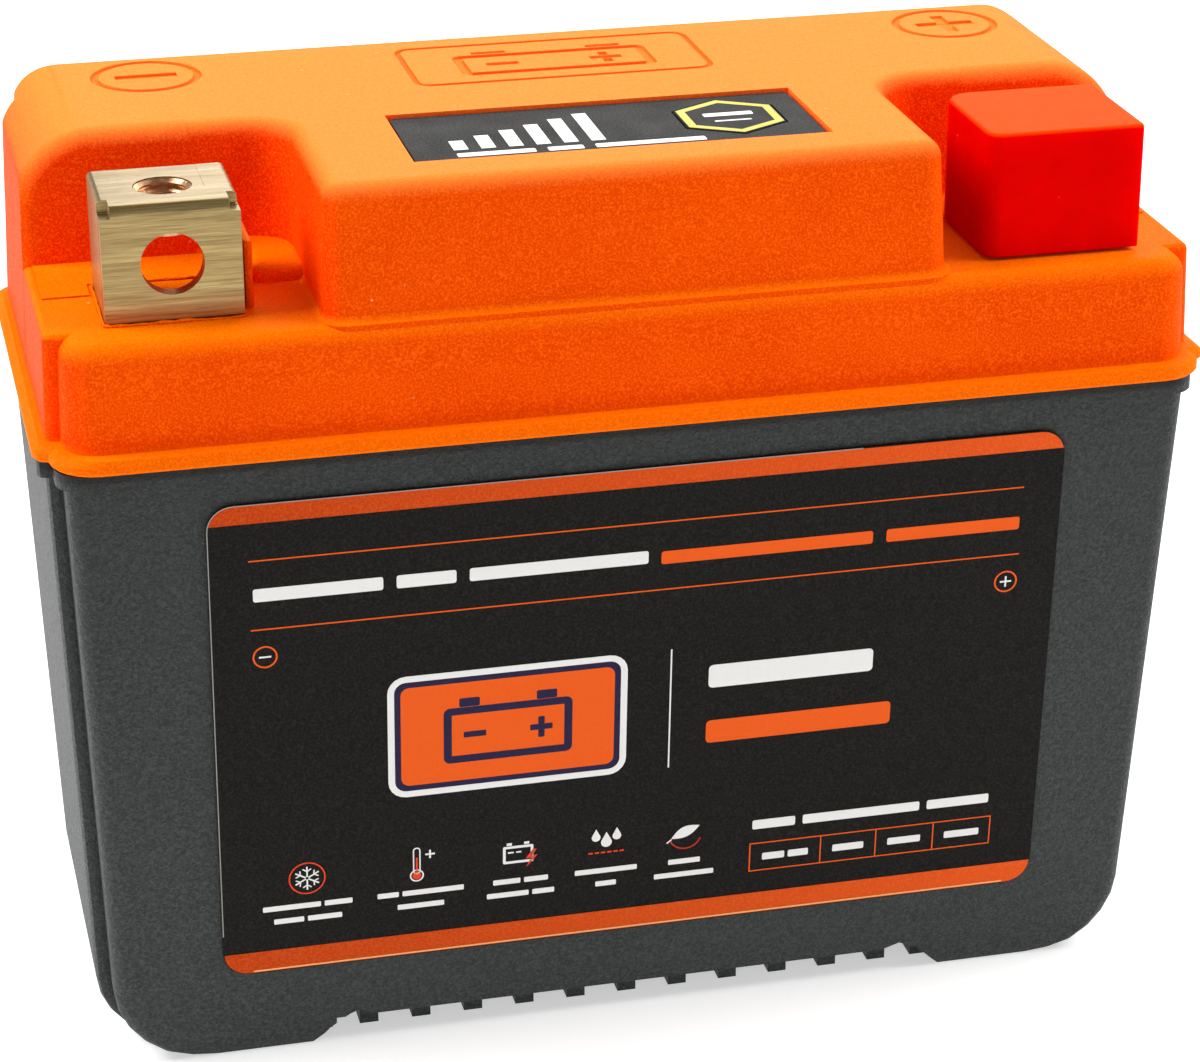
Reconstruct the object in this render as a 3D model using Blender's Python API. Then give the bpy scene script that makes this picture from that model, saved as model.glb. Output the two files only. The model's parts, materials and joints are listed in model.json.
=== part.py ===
"""Lithium motorcycle battery: a drafted case with a stepped lid, folded brass terminals, a cover on
the positive one, a charge indicator with a test button, and four flat cells wired in series.

Frame: millimetres in this file, metres in Blender. +X towards the positive terminal, -Y towards the
labelled front, +Z up. The origin is at the middle of the base, on the surface that it stands on.
"""

import math

import bmesh
import bpy
from mathutils import Matrix, Vector

MM = 0.001
COLLECTION = "motorcycle_battery"

# Driving dimensions
LENGTH = 107.0          # over the lid's end lips
DEPTH = 52.0            # over the lid's front and rear lips
HEIGHT = 85.0
FLOOR_Z = 73.1          # top of the lid's low front corners, where the terminals stand
LIP_Z = 62.3            # underside of the lid's lip
LIP_HEIGHT = 1.3
GAP = 0.3               # clearance between neighbouring pieces
FLUSH = 0.02            # offset that keeps two joined walls from lying in one plane
WALL = 2.0

# Plan sizes: half lengths along X, half depths along Y, of the wide end bays and the front and rear faces
LIP_END = LENGTH / 2
LIP_FRONT = DEPTH / 2
BAY_SETBACK = 4.2       # how far the end bays stop short of the front and rear faces
BAY_STEP = 1.3          # how far the end bays stand out past the front and rear parts
BAY_CORNER = 0.8

# Case
CASE_TOP = 61.9
CASE_END = 52.4         # end bay's half length just below the rim
CASE_FRONT = 23.8
END_DRAFT = 0.032       # how much the ends draw in, per millimetre down
FRONT_DRAFT = 0.074
CASE_CORNER = 7.5       # radius of the bottom end edges
RIM_HEIGHT = 1.2
RIM_PROUD = 0.7
GROOVE_END = 50.7       # outer half length of the gasket's groove in the rim
GROOVE_FRONT = 23.9
GROOVE_WIDTH = 1.3
GROOVE_DEPTH = 1.2
CASE_FLOOR = 4.5
CHANNEL_HALF = 31.0     # half length of the ribbed channel between the feet
CHANNEL_HEIGHT = 2.6
RIB_COUNT = 11
RIB_PITCH = 5.06
RIB_WIDTH = 1.8
RIB_FRONT = 16.7
RIB_DEPTH = 3.6
RIB_DROP = 0.7

# Lid
SKIRT_END = 52.3
SKIRT_FRONT = 24.3
SKIRT_DRAFT = 0.035
FACE_DRAFT = 0.08       # further lean of the block's front and of the recesses' back walls
EDGE = 1.7              # rounding of the lid's top edges
FOOT_FILLET = 0.7       # fillet where the raised part meets the recess floor
END_ROUND = 7.5         # rounding of the back block's two end edges
BLOCK_HALF = 28.4       # half width of the centre block
BLOCK_FRONT = 23.05
RECESS_BACK = -1.9      # back wall of the two terminal recesses
RECESS_FILLET = 3.5
REAR = 24.3             # half depth of the raised part at its rear
ROOF = 1.7
CEILING = HEIGHT - 2.8
LINER_END = 46.2        # the lid's inside, which also is the tongue's inside
LINER_FRONT = 19.6

MARK_X = 39.2           # half the distance between the polarity marks
MARK_Y = 16.0
MARK_SHIFT = 0.9        # the pair stands a little towards the positive end
MARK_RADIUS = 5.2
MARK_DEPTH = 0.25

# Indicator
WINDOW_HALF = 18.9
WINDOW_FRONT = -16.2
WINDOW_BACK = -1.8
WINDOW_FLOOR = HEIGHT - 0.8
FILM = 0.3
BUTTON_X = 11.45
BUTTON_Y = -8.55
BUTTON_RADIUS = 5.3
BAR_COUNT = 6
BAR_PITCH = 2.45
BAR_X = -14.05
BAR_Y = -12.0

BOARD_TOP = 79.6        # component side of the indicator board

# Terminals
TERMINAL_X = 40.4
TERMINAL_WIDTH = 12.0
TERMINAL_FRONT = -18.8
TERMINAL_BACK = -8.1
TERMINAL_TOP = 83.7
SHEET = 1.5
BOLT_RADIUS = 2.75      # clears an M5 bolt
THREAD_RADIUS = 2.55
FRONT_HOLE_Z = 78.35
TAB_FRONT = -16.2
TAB_BACK = -10.2
TAB_BOTTOM = 66.0
RIB_THICKNESS = 0.8     # rib of the lid beside each terminal

# Label
LABEL_SIZE = (78.8, 48.9)
LABEL_CENTRE = (0.1, 33.3)      # X and Z
LABEL_CORNER = 2.4

# Cells
CELL_COUNT = 4
CELL_PITCH = 8.5
CELL_SIZE = (86.0, 7.3, 50.0)
CELL_BOTTOM = 6.6
CELL_TOP = CELL_BOTTOM + CELL_SIZE[2]
TAB_X = 29.0
TAB_WIDTH = 8.0
TAB_TOP = CELL_TOP + 3.4
LINK_Z = TAB_TOP + GAP  # underside of the strips that lie on the cell tabs

# Protection board
PROTECTION_TOP = 67.0
TRANSISTOR_COUNT = 4


# ---------------------------------------------------------------- helpers

def clear_scene():
    for old in list(bpy.data.objects):
        bpy.data.objects.remove(old, do_unlink=True)


def material(name, colour, roughness, metallic=0.0):
    made = bpy.data.materials.new(name)
    made.use_nodes = True
    shader = made.node_tree.nodes["Principled BSDF"]
    shader.inputs["Base Color"].default_value = (*colour, 1.0)
    shader.inputs["Roughness"].default_value = roughness
    shader.inputs["Metallic"].default_value = metallic
    return made


def place(name, mesh):
    """Put a mesh in the battery's collection as a named object."""
    piece = bpy.data.objects.new(name, mesh)
    bpy.data.collections[COLLECTION].objects.link(piece)
    return piece


def from_bmesh(name, shape):
    """Turn a bmesh in millimetres into an object in metres."""
    bmesh.ops.recalc_face_normals(shape, faces=shape.faces)
    bmesh.ops.scale(shape, vec=(MM, MM, MM), verts=shape.verts)
    mesh = bpy.data.meshes.new(name)
    shape.to_mesh(mesh)
    shape.free()
    return place(name, mesh)


def bake(piece):
    """Keep the evaluated mesh and drop the modifiers that made it."""
    bpy.context.view_layer.update()
    graph = bpy.context.evaluated_depsgraph_get()
    mesh = bpy.data.meshes.new_from_object(piece.evaluated_get(graph))
    piece.modifiers.clear()
    piece.data = mesh


def combine(target, tool, operation):
    """Apply one Boolean with a tool object, then remove the tool."""
    modifier = target.modifiers.new(operation.lower(), "BOOLEAN")
    modifier.operation = operation
    modifier.solver = "EXACT"
    modifier.object = tool
    bake(target)
    bpy.data.objects.remove(tool, do_unlink=True)


def join(target, *tools):
    for tool in tools:
        combine(target, tool, "UNION")


def cut(target, *tools):
    for tool in tools:
        combine(target, tool, "DIFFERENCE")


def finish(piece, look, angle=32.0):
    """Give a finished piece its material and smooth shading."""
    piece.data.materials.clear()
    piece.data.materials.append(look)
    for face in piece.data.polygons:
        face.material_index = 0
    piece.data.shade_smooth()
    piece.data.set_sharp_from_angle(angle=math.radians(angle))
    return piece


def cube_bmesh(low, high):
    shape = bmesh.new()
    bmesh.ops.create_cube(shape, size=1.0)
    size = Vector(high) - Vector(low)
    bmesh.ops.scale(shape, vec=size, verts=shape.verts)
    bmesh.ops.translate(shape, vec=(Vector(high) + Vector(low)) / 2, verts=shape.verts)
    return shape


def along(edge, axis):
    direction = (edge.verts[1].co - edge.verts[0].co).normalized()
    return abs(direction[axis]) > 0.9


def bevel(shape, radius, pick, segments=3):
    edges = [edge for edge in shape.edges if pick(edge)]
    bmesh.ops.bevel(shape, geom=edges, offset=radius, segments=segments, profile=0.5, affect="EDGES",
                    clamp_overlap=True)


def box(name, low, high, radius=0.0, segments=2):
    """A cuboid between two corners, its edges rounded when a radius is given."""
    shape = cube_bmesh(low, high)
    if radius:
        bevel(shape, radius, lambda edge: True, segments)
    return from_bmesh(name, shape)


def cylinder(name, radius, centre, length, axis="Z", sides=32):
    """A cylinder about an axis, centred on a point."""
    shape = bmesh.new()
    bmesh.ops.create_cone(shape, cap_ends=True, segments=sides, radius1=radius, radius2=radius, depth=length)
    turns = {"X": Matrix.Rotation(math.radians(90), 3, "Y"), "Z": Matrix.Identity(3),
             "Y": Matrix.Rotation(math.radians(90), 3, "X")}
    bmesh.ops.rotate(shape, cent=(0, 0, 0), matrix=turns[axis], verts=shape.verts)
    bmesh.ops.translate(shape, vec=centre, verts=shape.verts)
    return from_bmesh(name, shape)


def plate(name, loops, low, high, plane="XY"):
    """Flat outlines, extruded between two levels. Loops inside the first one are holes.

    In plane XY the levels are heights. In plane XZ the outline stands up, and they are Y positions.
    """
    curve = bpy.data.curves.new(name, "CURVE")
    curve.dimensions = "2D"
    curve.fill_mode = "BOTH"
    curve.extrude = (high - low) / 2 * MM
    for loop in loops:
        spline = curve.splines.new("POLY")
        spline.points.add(len(loop) - 1)
        for point, (u, v) in zip(spline.points, loop):
            point.co = (u * MM, v * MM, 0.0, 1.0)
        spline.use_cyclic_u = True
    drawn = place(name + "_outline", curve)
    middle = (high + low) / 2 * MM
    if plane == "XY":
        drawn.location = (0.0, 0.0, middle)
    else:
        drawn.rotation_euler = (math.radians(90), 0.0, 0.0)
        drawn.location = (0.0, middle, 0.0)
    return mesh_from_curve(name, drawn)


def mesh_from_curve(name, drawn):
    bpy.context.view_layer.update()
    graph = bpy.context.evaluated_depsgraph_get()
    mesh = bpy.data.meshes.new_from_object(drawn.evaluated_get(graph))
    mesh.transform(drawn.matrix_world)
    bpy.data.objects.remove(drawn, do_unlink=True)
    shape = bmesh.new()
    shape.from_mesh(mesh)
    bmesh.ops.remove_doubles(shape, verts=shape.verts, dist=0.000001)
    bmesh.ops.recalc_face_normals(shape, faces=shape.faces)
    shape.to_mesh(mesh)
    shape.free()
    return place(name, mesh)


def tube(name, points, radius, resolution=2):
    """A wire through a list of points."""
    curve = bpy.data.curves.new(name, "CURVE")
    curve.dimensions = "3D"
    curve.bevel_depth = radius * MM
    curve.bevel_resolution = resolution
    curve.use_fill_caps = True
    spline = curve.splines.new("POLY")
    spline.points.add(len(points) - 1)
    for point, place_at in zip(spline.points, points):
        point.co = (*(value * MM for value in place_at), 1.0)
    return mesh_from_curve(name, place(name + "_path", curve))


def smooth_path(points, steps=5):
    """Catmull-Rom points through a short list of route points."""
    padded = [points[0], *points, points[-1]]
    route = []
    for before, start, end, after in zip(padded, padded[1:], padded[2:], padded[3:]):
        for step in range(steps):
            t = step / steps
            route.append(tuple(
                0.5 * (2 * b + (c - a) * t + (2 * a - 5 * b + 4 * c - d) * t * t
                       + (3 * b - a - 3 * c + d) * t ** 3)
                for a, b, c, d in zip(before, start, end, after)))
    route.append(points[-1])
    return route


def arc(centre, radius, start, end, steps):
    """Points along a circular arc, angles in degrees."""
    return [(centre[0] + radius * math.cos(math.radians(start + (end - start) * i / steps)),
             centre[1] + radius * math.sin(math.radians(start + (end - start) * i / steps)))
            for i in range(steps + 1)]


def rounded_rectangle(half_x, half_y, radius, steps=4, centre=(0.0, 0.0)):
    corners = []
    for quarter, (sx, sy) in enumerate(((1, 1), (-1, 1), (-1, -1), (1, -1))):
        middle = (centre[0] + sx * (half_x - radius), centre[1] + sy * (half_y - radius))
        corners += arc(middle, radius, 90 * quarter, 90 * quarter + 90, steps)
    return corners


def mirrored(quarter):
    """A closed outline from the points of its first quarter, anticlockwise."""
    half = quarter + [(-x, y) for x, y in reversed(quarter)]
    return half + [(-x, -y) for x, y in half]


def stepped_outline(end, front, corner=3.0, bay_corner=BAY_CORNER):
    """Plan outline of the case and skirt: wide end bays between a narrower front and rear."""
    side = end - BAY_STEP
    bay = front - BAY_SETBACK
    quarter = arc((end - bay_corner, bay - bay_corner), bay_corner, 0, 90, 2)
    quarter += [(side, bay)]
    quarter += arc((side - corner, front - corner), corner, 0, 90, 6)
    return mirrored(quarter)


def loft(name, sections):
    """A closed solid through flat outlines with equal point counts, each given as (height, outline)."""
    return skin(name, [[(x, y, z) for x, y in outline] for z, outline in sections])


def skin(name, loops):
    """A closed solid over a row of loops with equal point counts."""
    shape = bmesh.new()
    rings = [[shape.verts.new(point) for point in loop] for loop in loops]
    for lower, upper in zip(rings, rings[1:]):
        for i in range(len(lower)):
            j = (i + 1) % len(lower)
            shape.faces.new((lower[i], lower[j], upper[j], upper[i]))
    shape.faces.new(list(reversed(rings[0])))
    shape.faces.new(rings[-1])
    return from_bmesh(name, shape)


def rounding(radius, steps):
    """Inset and drop pairs that turn a wall into a top face, from the wall upwards."""
    angles = [math.radians(90 * i / steps) for i in range(steps + 1)]
    return [(radius * (1 - math.cos(a)), radius * (1 - math.sin(a))) for a in angles]


# ---------------------------------------------------------------- case

def case_outline(z, inset=0.0, corner=1.6):
    """The case's outer outline at a height, with its draft and its rounded bottom end edges."""
    end = CASE_END - END_DRAFT * (CASE_TOP - z) - inset
    front = CASE_FRONT - FRONT_DRAFT * (CASE_TOP - z) - inset
    if z < CASE_CORNER:
        below = CASE_CORNER - z
        end -= CASE_CORNER - math.sqrt(CASE_CORNER ** 2 - below ** 2)
    if z < 1.0:
        front -= 0.4 * (1.0 - z)
    return stepped_outline(end, front, corner=corner)


def channel_outline(half, height):
    """Upright outline of the channel between the feet, with sloping ends and arcs above them."""
    right = [(half + 1.0, -1.0), (half, 0.0), (half - 1.6, 1.6)]
    right += arc((half - 5.0, height - 2.6), 2.6 * 1.25, 38, 90, 4)[1:-1]
    right += [(half - 6.0, height)]
    return right + [(-x, z) for x, z in reversed(right)]


def make_case(look):
    angles = [90 * i / 6 for i in range(7)]
    heights = [CASE_CORNER * (1 - math.cos(math.radians(a))) for a in angles]
    heights = sorted({round(h, 4) for h in heights} | {1.0})
    case = loft("battery_case", [(z, case_outline(z)) for z in [*heights, CASE_TOP - RIM_HEIGHT]])
    rim = loft("rim", [(z, case_outline(CASE_TOP, -RIM_PROUD, corner=2.6))
                       for z in (CASE_TOP - RIM_HEIGHT - 0.3, CASE_TOP)])
    join(case, rim)
    channel = channel_outline(CHANNEL_HALF, CHANNEL_HEIGHT)
    cut(case,
        plate("front_channel", [channel], -DEPTH / 2 - 2, -RIB_FRONT, plane="XZ"),
        plate("rear_channel", [channel], RIB_FRONT, DEPTH / 2 + 2, plane="XZ"))
    for index in range(RIB_COUNT + 1):
        left = (index - (RIB_COUNT + 1) / 2) * RIB_PITCH + RIB_WIDTH / 2
        right = left + RIB_PITCH - RIB_WIDTH
        if index == 0:
            left = -CHANNEL_HALF + 2.2
        if index == RIB_COUNT:
            right = CHANNEL_HALF - 2.2
        back = RIB_FRONT - RIB_DEPTH
        cut(case,
            box("groove", (left, -DEPTH / 2, -1.0), (right, DEPTH / 2, RIB_DROP)),
            box("front_gap", (left, -DEPTH / 2, -1.0), (right, -back, CHANNEL_HEIGHT - FLUSH)),
            box("rear_gap", (left, back, -1.0), (right, DEPTH / 2, CHANNEL_HEIGHT - FLUSH)))
    cut(case, case_cavity())
    cut(case, ring("gasket_groove", 0.0, CASE_TOP - GROOVE_DEPTH, CASE_TOP + 1.0))
    return finish(case, look)


def ring(name, clearance, low, high):
    """A flat ring that follows the groove in the case's rim, with clearance on both sides."""
    outer = rounded_rectangle(GROOVE_END - clearance, GROOVE_FRONT - clearance, 3.0 - clearance)
    inset = GROOVE_WIDTH - clearance
    inner = rounded_rectangle(GROOVE_END - inset, GROOVE_FRONT - inset, 3.0 - inset)
    return plate(name, [outer, inner], low, high)


def case_cavity():
    """The inside of the case: a drafted tub with rounded bottom end edges."""
    corner = 4.0
    sections = []
    for height, inset in [(0.0, corner), (0.3, 2.5), (1.2, 1.15), (2.5, 0.3), (corner, 0.0), (70.0, 0.0)]:
        z = CASE_FLOOR + height
        end = CASE_END - BAY_STEP - END_DRAFT * (CASE_TOP - z) - WALL - inset
        front = CASE_FRONT - FRONT_DRAFT * (CASE_TOP - z) - WALL
        sections.append((z, rounded_rectangle(end, front, 1.5, steps=2)))
    return loft("cavity", sections)


# ---------------------------------------------------------------- lid

def block_outline(inset, lean=0.0, flare=0.0):
    """Plan outline of the lid's raised part: a full-length back block and a centre block.

    The inset is equal all round. The lean draws the forward faces further back, and the flare, for the
    fillet at the foot, pushes the faces that rise from the recess floor outwards.
    """
    end = SKIRT_END + FLUSH - inset
    rear = REAR + FLUSH - inset
    bay = rear - BAY_SETBACK
    side = end - BAY_STEP
    half = BLOCK_HALF - inset + flare
    front = -BLOCK_FRONT + inset + lean - flare
    back = RECESS_BACK + inset + lean - flare
    corner = max(2.4 - inset + flare, 0.4)
    fillet = RECESS_FILLET + inset - flare
    half_outline = arc((half - corner, front + corner), corner, -90, 0, 6)
    half_outline += arc((half + fillet, back - fillet), fillet, 180, 90, 6)
    half_outline += arc((end - 0.4, back + 0.4), 0.4, -90, 0, 2)
    half_outline += arc((end - BAY_CORNER, bay - BAY_CORNER), BAY_CORNER, 0, 90, 3)
    half_outline += [(side, bay)]
    half_outline += arc((side - 3.0, rear - 3.0), 3.0, 0, 90, 6)
    return half_outline + [(-x, y) for x, y in reversed(half_outline)]


def end_profile(inset):
    """Upright outline of the back block, with two large rounded top corners."""
    end = SKIRT_END + 0.1 - inset
    top = HEIGHT + FLUSH - inset
    radius = END_ROUND - inset
    right = [(end, 40.0)] + arc((end - radius, top - radius), radius, 0, 90, 12)
    return right + [(-x, z) for x, z in reversed(right)]


def make_end_limit():
    """What the raised part is trimmed to: its ends arch over, with the rounding of the forward edge
    running on along the arch."""
    slope = SKIRT_DRAFT + FACE_DRAFT
    foot = RECESS_BACK + SKIRT_DRAFT * (FLOOR_Z - LIP_Z) - FLUSH
    rings = []
    for setback, inset in rounding(EDGE, 6):
        rings.append([(x, foot + setback + slope * (z - FLOOR_Z), z) for x, z in end_profile(inset)])
    rings.append([(x, 40.0, z) for x, z in end_profile(0.0)])
    limit = skin("limit", rings)
    join(limit, box("middle", (-BLOCK_HALF - 8.0, -60.0, 41.0), (BLOCK_HALF + 8.0, 39.0, HEIGHT + 2.0)))
    return limit


def make_raised_part():
    """The raised part: drafted walls on a small fillet, rounded top edges, and arched ends."""
    wall_top = HEIGHT - EDGE
    draw = SKIRT_DRAFT * (wall_top - LIP_Z)
    foot_draw = SKIRT_DRAFT * (FLOOR_Z - LIP_Z)
    lean = FACE_DRAFT * (wall_top - FLOOR_Z)
    sections = [(LIP_Z + LIP_HEIGHT, block_outline(0.0, flare=FOOT_FILLET))]
    for step in range(5):
        angle = math.radians(90 * step / 4)
        flare = FOOT_FILLET * (1 - math.sin(angle))
        rise = FOOT_FILLET * (1 - math.cos(angle))
        sections.append((FLOOR_Z + rise, block_outline(foot_draw, FACE_DRAFT * rise, flare)))
    for inset, drop in rounding(EDGE, 6):
        sections.append((HEIGHT - drop, block_outline(draw + inset, lean)))
    raised = loft("raised", sections)
    combine(raised, make_end_limit(), "INTERSECT")
    return raised


def rounded_slab(name, half_x, half_y, corner, edge, steps):
    """A drafted slab from the lip up to the recess floor, with a rounded top edge."""
    wall_top = FLOOR_Z - edge
    draw = SKIRT_DRAFT * (wall_top - LIP_Z)
    sections = [(LIP_Z + 0.4, rounded_rectangle(half_x, half_y, corner, steps))]
    for inset, drop in rounding(edge, 6):
        total = draw + inset
        sections.append((FLOOR_Z - drop, rounded_rectangle(half_x - total, half_y - total,
                                                           max(corner - total, 0.2), steps)))
    return loft(name, sections)


def make_skirt():
    """The band from the lip up to the floor of the terminal recesses, with its two end bays."""
    skirt = rounded_slab("skirt", SKIRT_END - BAY_STEP, SKIRT_FRONT, 3.2, EDGE + 0.2, 6)
    join(skirt, rounded_slab("bays", SKIRT_END, SKIRT_FRONT - BAY_SETBACK, 0.9, 0.6, 3))
    return skirt


def make_lip():
    """The lip that overhangs the case's rim, slightly chamfered on top."""
    outline = stepped_outline(LIP_END, LIP_FRONT, corner=4.0, bay_corner=1.4)
    upper = stepped_outline(LIP_END - 0.7, LIP_FRONT - 0.3, corner=4.0, bay_corner=1.4)
    lower = stepped_outline(LIP_END - 0.2, LIP_FRONT - 0.2, corner=4.0, bay_corner=1.4)
    return loft("lid", [(LIP_Z, lower), (LIP_Z + 0.25, outline), (LIP_Z + LIP_HEIGHT - 0.5, outline),
                        (LIP_Z + LIP_HEIGHT, upper)])


def lid_cavities():
    """The inside of the lid: a well under the floor, and taller spaces in the raised part."""
    well = loft("well", [(z, rounded_rectangle(LINER_END, LINER_FRONT, 2.0, steps=2))
                         for z in (40.0, FLOOR_Z - ROOF)])
    low = FLOOR_Z - ROOF - 6.0
    half = BLOCK_HALF - WALL
    front = -BLOCK_FRONT + 1.5 * WALL
    back = RECESS_BACK + 1.8 * WALL
    rear = box("rear_space", (-46.8, back, low), (46.8, REAR - WALL - 0.5, CEILING))
    centre = box("centre_space", (-half, front, low + FLUSH), (half, back + 2.0, CEILING - FLUSH))
    return well, rear, centre


def hexagon(radius, centre):
    return [(centre[0] + radius * math.sin(math.radians(60 * i)),
             centre[1] + radius * math.cos(math.radians(60 * i))) for i in range(6)]


def ring_mark(x, y, plus):
    """Cutters for a polarity mark: a ring groove with a bar or a cross in it."""
    top = HEIGHT + 1.0
    floor = HEIGHT - MARK_DEPTH
    outer = arc((x, y), MARK_RADIUS, 0, 360, 48)[:-1]
    inner = arc((x, y), MARK_RADIUS - 0.8, 0, 360, 48)[:-1]
    marks = [plate("ring_mark", [outer, inner], floor, top)]
    reach, half = 2.9, 0.65
    marks.append(box("bar_mark", (x - reach, y - half, floor), (x + reach, y + half, top)))
    if plus:
        marks.append(box("cross_mark", (x - half, y - reach, floor + FLUSH), (x + half, y + reach, top)))
    return marks


def frame_mark():
    """Cutter for the plain groove that frames an empty panel on the lid's top."""
    outer = rounded_rectangle(14.4, 6.6, 1.6, centre=(0.0, 13.0))
    inner = rounded_rectangle(13.8, 6.0, 1.1, centre=(0.0, 13.0))
    return plate("frame_mark", [outer, inner], HEIGHT - MARK_DEPTH, HEIGHT + 1.0)


def make_lid(look):
    lid = make_lip()
    join(lid, make_skirt(), make_raised_part())
    end = SKIRT_END - 1.2
    for side in (-1, 1):
        for x0, x1, front in ((BLOCK_HALF, TERMINAL_X + TERMINAL_WIDTH / 2 + 1.0, TERMINAL_BACK + 0.5),
                              (TERMINAL_X + TERMINAL_WIDTH / 2 + 0.5, end, -10.5)):
            low, high = sorted((side * x0, side * x1))
            join(lid, box("terrace", (low, front, FLOOR_Z - 1.0),
                          (high, RECESS_BACK + 2.0, FLOOR_Z + 0.15)))
    tongue = loft("tongue", [(z, rounded_rectangle(LINER_END + 1.4, LINER_FRONT + 1.4, 2.4, steps=2))
                             for z in (57.6, LIP_Z + 0.5)])
    join(lid, tongue)
    for side, reach in ((-1, 4.2), (1, 2.7)):
        low, high = sorted((side * (BLOCK_HALF - 1.0), side * (BLOCK_HALF + reach)))
        step = box("step", (low, -10.5, FLOOR_Z - 2.0), (high, RECESS_BACK + 2.0, FLOOR_Z + 1.4), 1.1, 4)
        low, high = sorted((side * (TERMINAL_X - TERMINAL_WIDTH / 2 - RIB_THICKNESS - GAP),
                            side * (TERMINAL_X - TERMINAL_WIDTH / 2 - GAP)))
        rib = box("rib", (low, TAB_FRONT - 0.6, FLOOR_Z - 1.0), (high, TAB_BACK + 0.6, FLOOR_Z + 6.2), 0.35, 2)
        join(lid, step, rib)
    cut(lid, *lid_cavities())
    cut(lid, box("window", (-WINDOW_HALF, WINDOW_FRONT, WINDOW_FLOOR),
                 (WINDOW_HALF, WINDOW_BACK, HEIGHT + 1.0)))
    centre = (BUTTON_X, BUTTON_Y)
    cut(lid, plate("button_pit", [hexagon(BUTTON_RADIUS + 0.4, centre)], WINDOW_FLOOR - 0.5, HEIGHT + 1))
    cut(lid, cylinder("stem_hole", 1.7, (*centre, WINDOW_FLOOR), 6.0, sides=20))
    for index in range(BAR_COUNT):
        x = BAR_X + index * BAR_PITCH
        cut(lid, box("light_slot", (x - 0.6, BAR_Y - 0.6, WINDOW_FLOOR - 4.0),
                     (x + 0.6, BAR_Y + 0.6, HEIGHT + 1.0)))
    for side in (-1, 1):
        inner = TERMINAL_X - TERMINAL_WIDTH / 2
        low, high = sorted((side * (inner - GAP), side * (inner + SHEET + GAP)))
        cut(lid, box("tab_slot", (low, TAB_FRONT - GAP, 60.0), (high, TAB_BACK + GAP, FLOOR_Z + 1)))
    cut(lid, frame_mark(), *ring_mark(MARK_SHIFT - MARK_X, MARK_Y, False))
    cut(lid, *ring_mark(MARK_SHIFT + MARK_X, MARK_Y, True))
    return finish(lid, look)


def make_gasket(look):
    return finish(ring("lid_gasket", GAP, CASE_TOP - GROOVE_DEPTH + GAP, LIP_Z - GAP), look)


# ---------------------------------------------------------------- terminals and cover

def make_terminal(name, side, look):
    """A box folded from brass sheet: top, front and two flaps, open at the back, with one tab down."""
    left = -TERMINAL_WIDTH / 2
    right = TERMINAL_WIDTH / 2
    bottom = FLOOR_Z + GAP
    relief = 0.9
    bend = 1.0

    def span(x0, x1):
        return sorted((side * (TERMINAL_X + x0), side * (TERMINAL_X + x1)))

    def sheet(x0, x1, y0, y1, z0, z1):
        low, high = span(x0, x1)
        return cube_bmesh((low, y0, z0), (high, y1, z1))

    def bent(shape, axis, radius, pick_y=None, pick_x=None):
        def chosen(edge):
            middle = (edge.verts[0].co + edge.verts[1].co) / 2
            at_y = pick_y is None or abs(middle.y - pick_y) < 0.01
            at_x = pick_x is None or abs(middle.x - pick_x) < 0.01
            return along(edge, axis) and abs(middle.z - TERMINAL_TOP) < 0.01 and at_y and at_x
        bevel(shape, radius, chosen, 4)
        return from_bmesh(name + "_sheet", shape)

    front = bent(sheet(left + relief, right - relief, TERMINAL_FRONT, TERMINAL_FRONT + 4.0,
                       TERMINAL_TOP - SHEET, TERMINAL_TOP), 0, bend, pick_y=TERMINAL_FRONT)
    wall = from_bmesh("wall", sheet(left, right, TERMINAL_FRONT, TERMINAL_FRONT + SHEET, bottom,
                                    TERMINAL_TOP - bend))
    terminal = from_bmesh(name, sheet(left + SHEET, right - SHEET, TERMINAL_FRONT + SHEET, TERMINAL_BACK,
                                      TERMINAL_TOP - SHEET + FLUSH, TERMINAL_TOP - FLUSH))
    join(terminal, front, wall)
    low_y = TERMINAL_FRONT + SHEET + 0.35
    for hand in (-1, 1):
        edge = hand * right
        x0, x1 = sorted((edge, edge - hand * (SHEET + 1.0)))
        flap = bent(sheet(x0, x1, low_y + 0.5, TERMINAL_BACK - FLUSH, TERMINAL_TOP - SHEET, TERMINAL_TOP),
                    1, bend / 2, pick_x=side * (TERMINAL_X + edge))
        x0, x1 = sorted((edge, edge - hand * SHEET))
        down = from_bmesh("down", sheet(x0, x1, low_y, TERMINAL_BACK, bottom, TERMINAL_TOP - bend))
        join(terminal, flap, down)
    tab = sheet(left + FLUSH, left + SHEET - FLUSH, TAB_FRONT, TAB_BACK, TAB_BOTTOM, bottom + 2.0)
    join(terminal, from_bmesh("tab", tab))
    front_centre = (side * TERMINAL_X, TERMINAL_FRONT, FRONT_HOLE_Z)
    top_centre = (side * TERMINAL_X, (TERMINAL_FRONT + TERMINAL_BACK) / 2, TERMINAL_TOP)
    cut(terminal,
        cylinder("bolt_hole", BOLT_RADIUS, front_centre, 6.0, axis="Y", sides=40),
        cylinder("thread_hole", THREAD_RADIUS, top_centre, 8.0, sides=40))
    return finish(terminal, look, 25.0)


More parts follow.
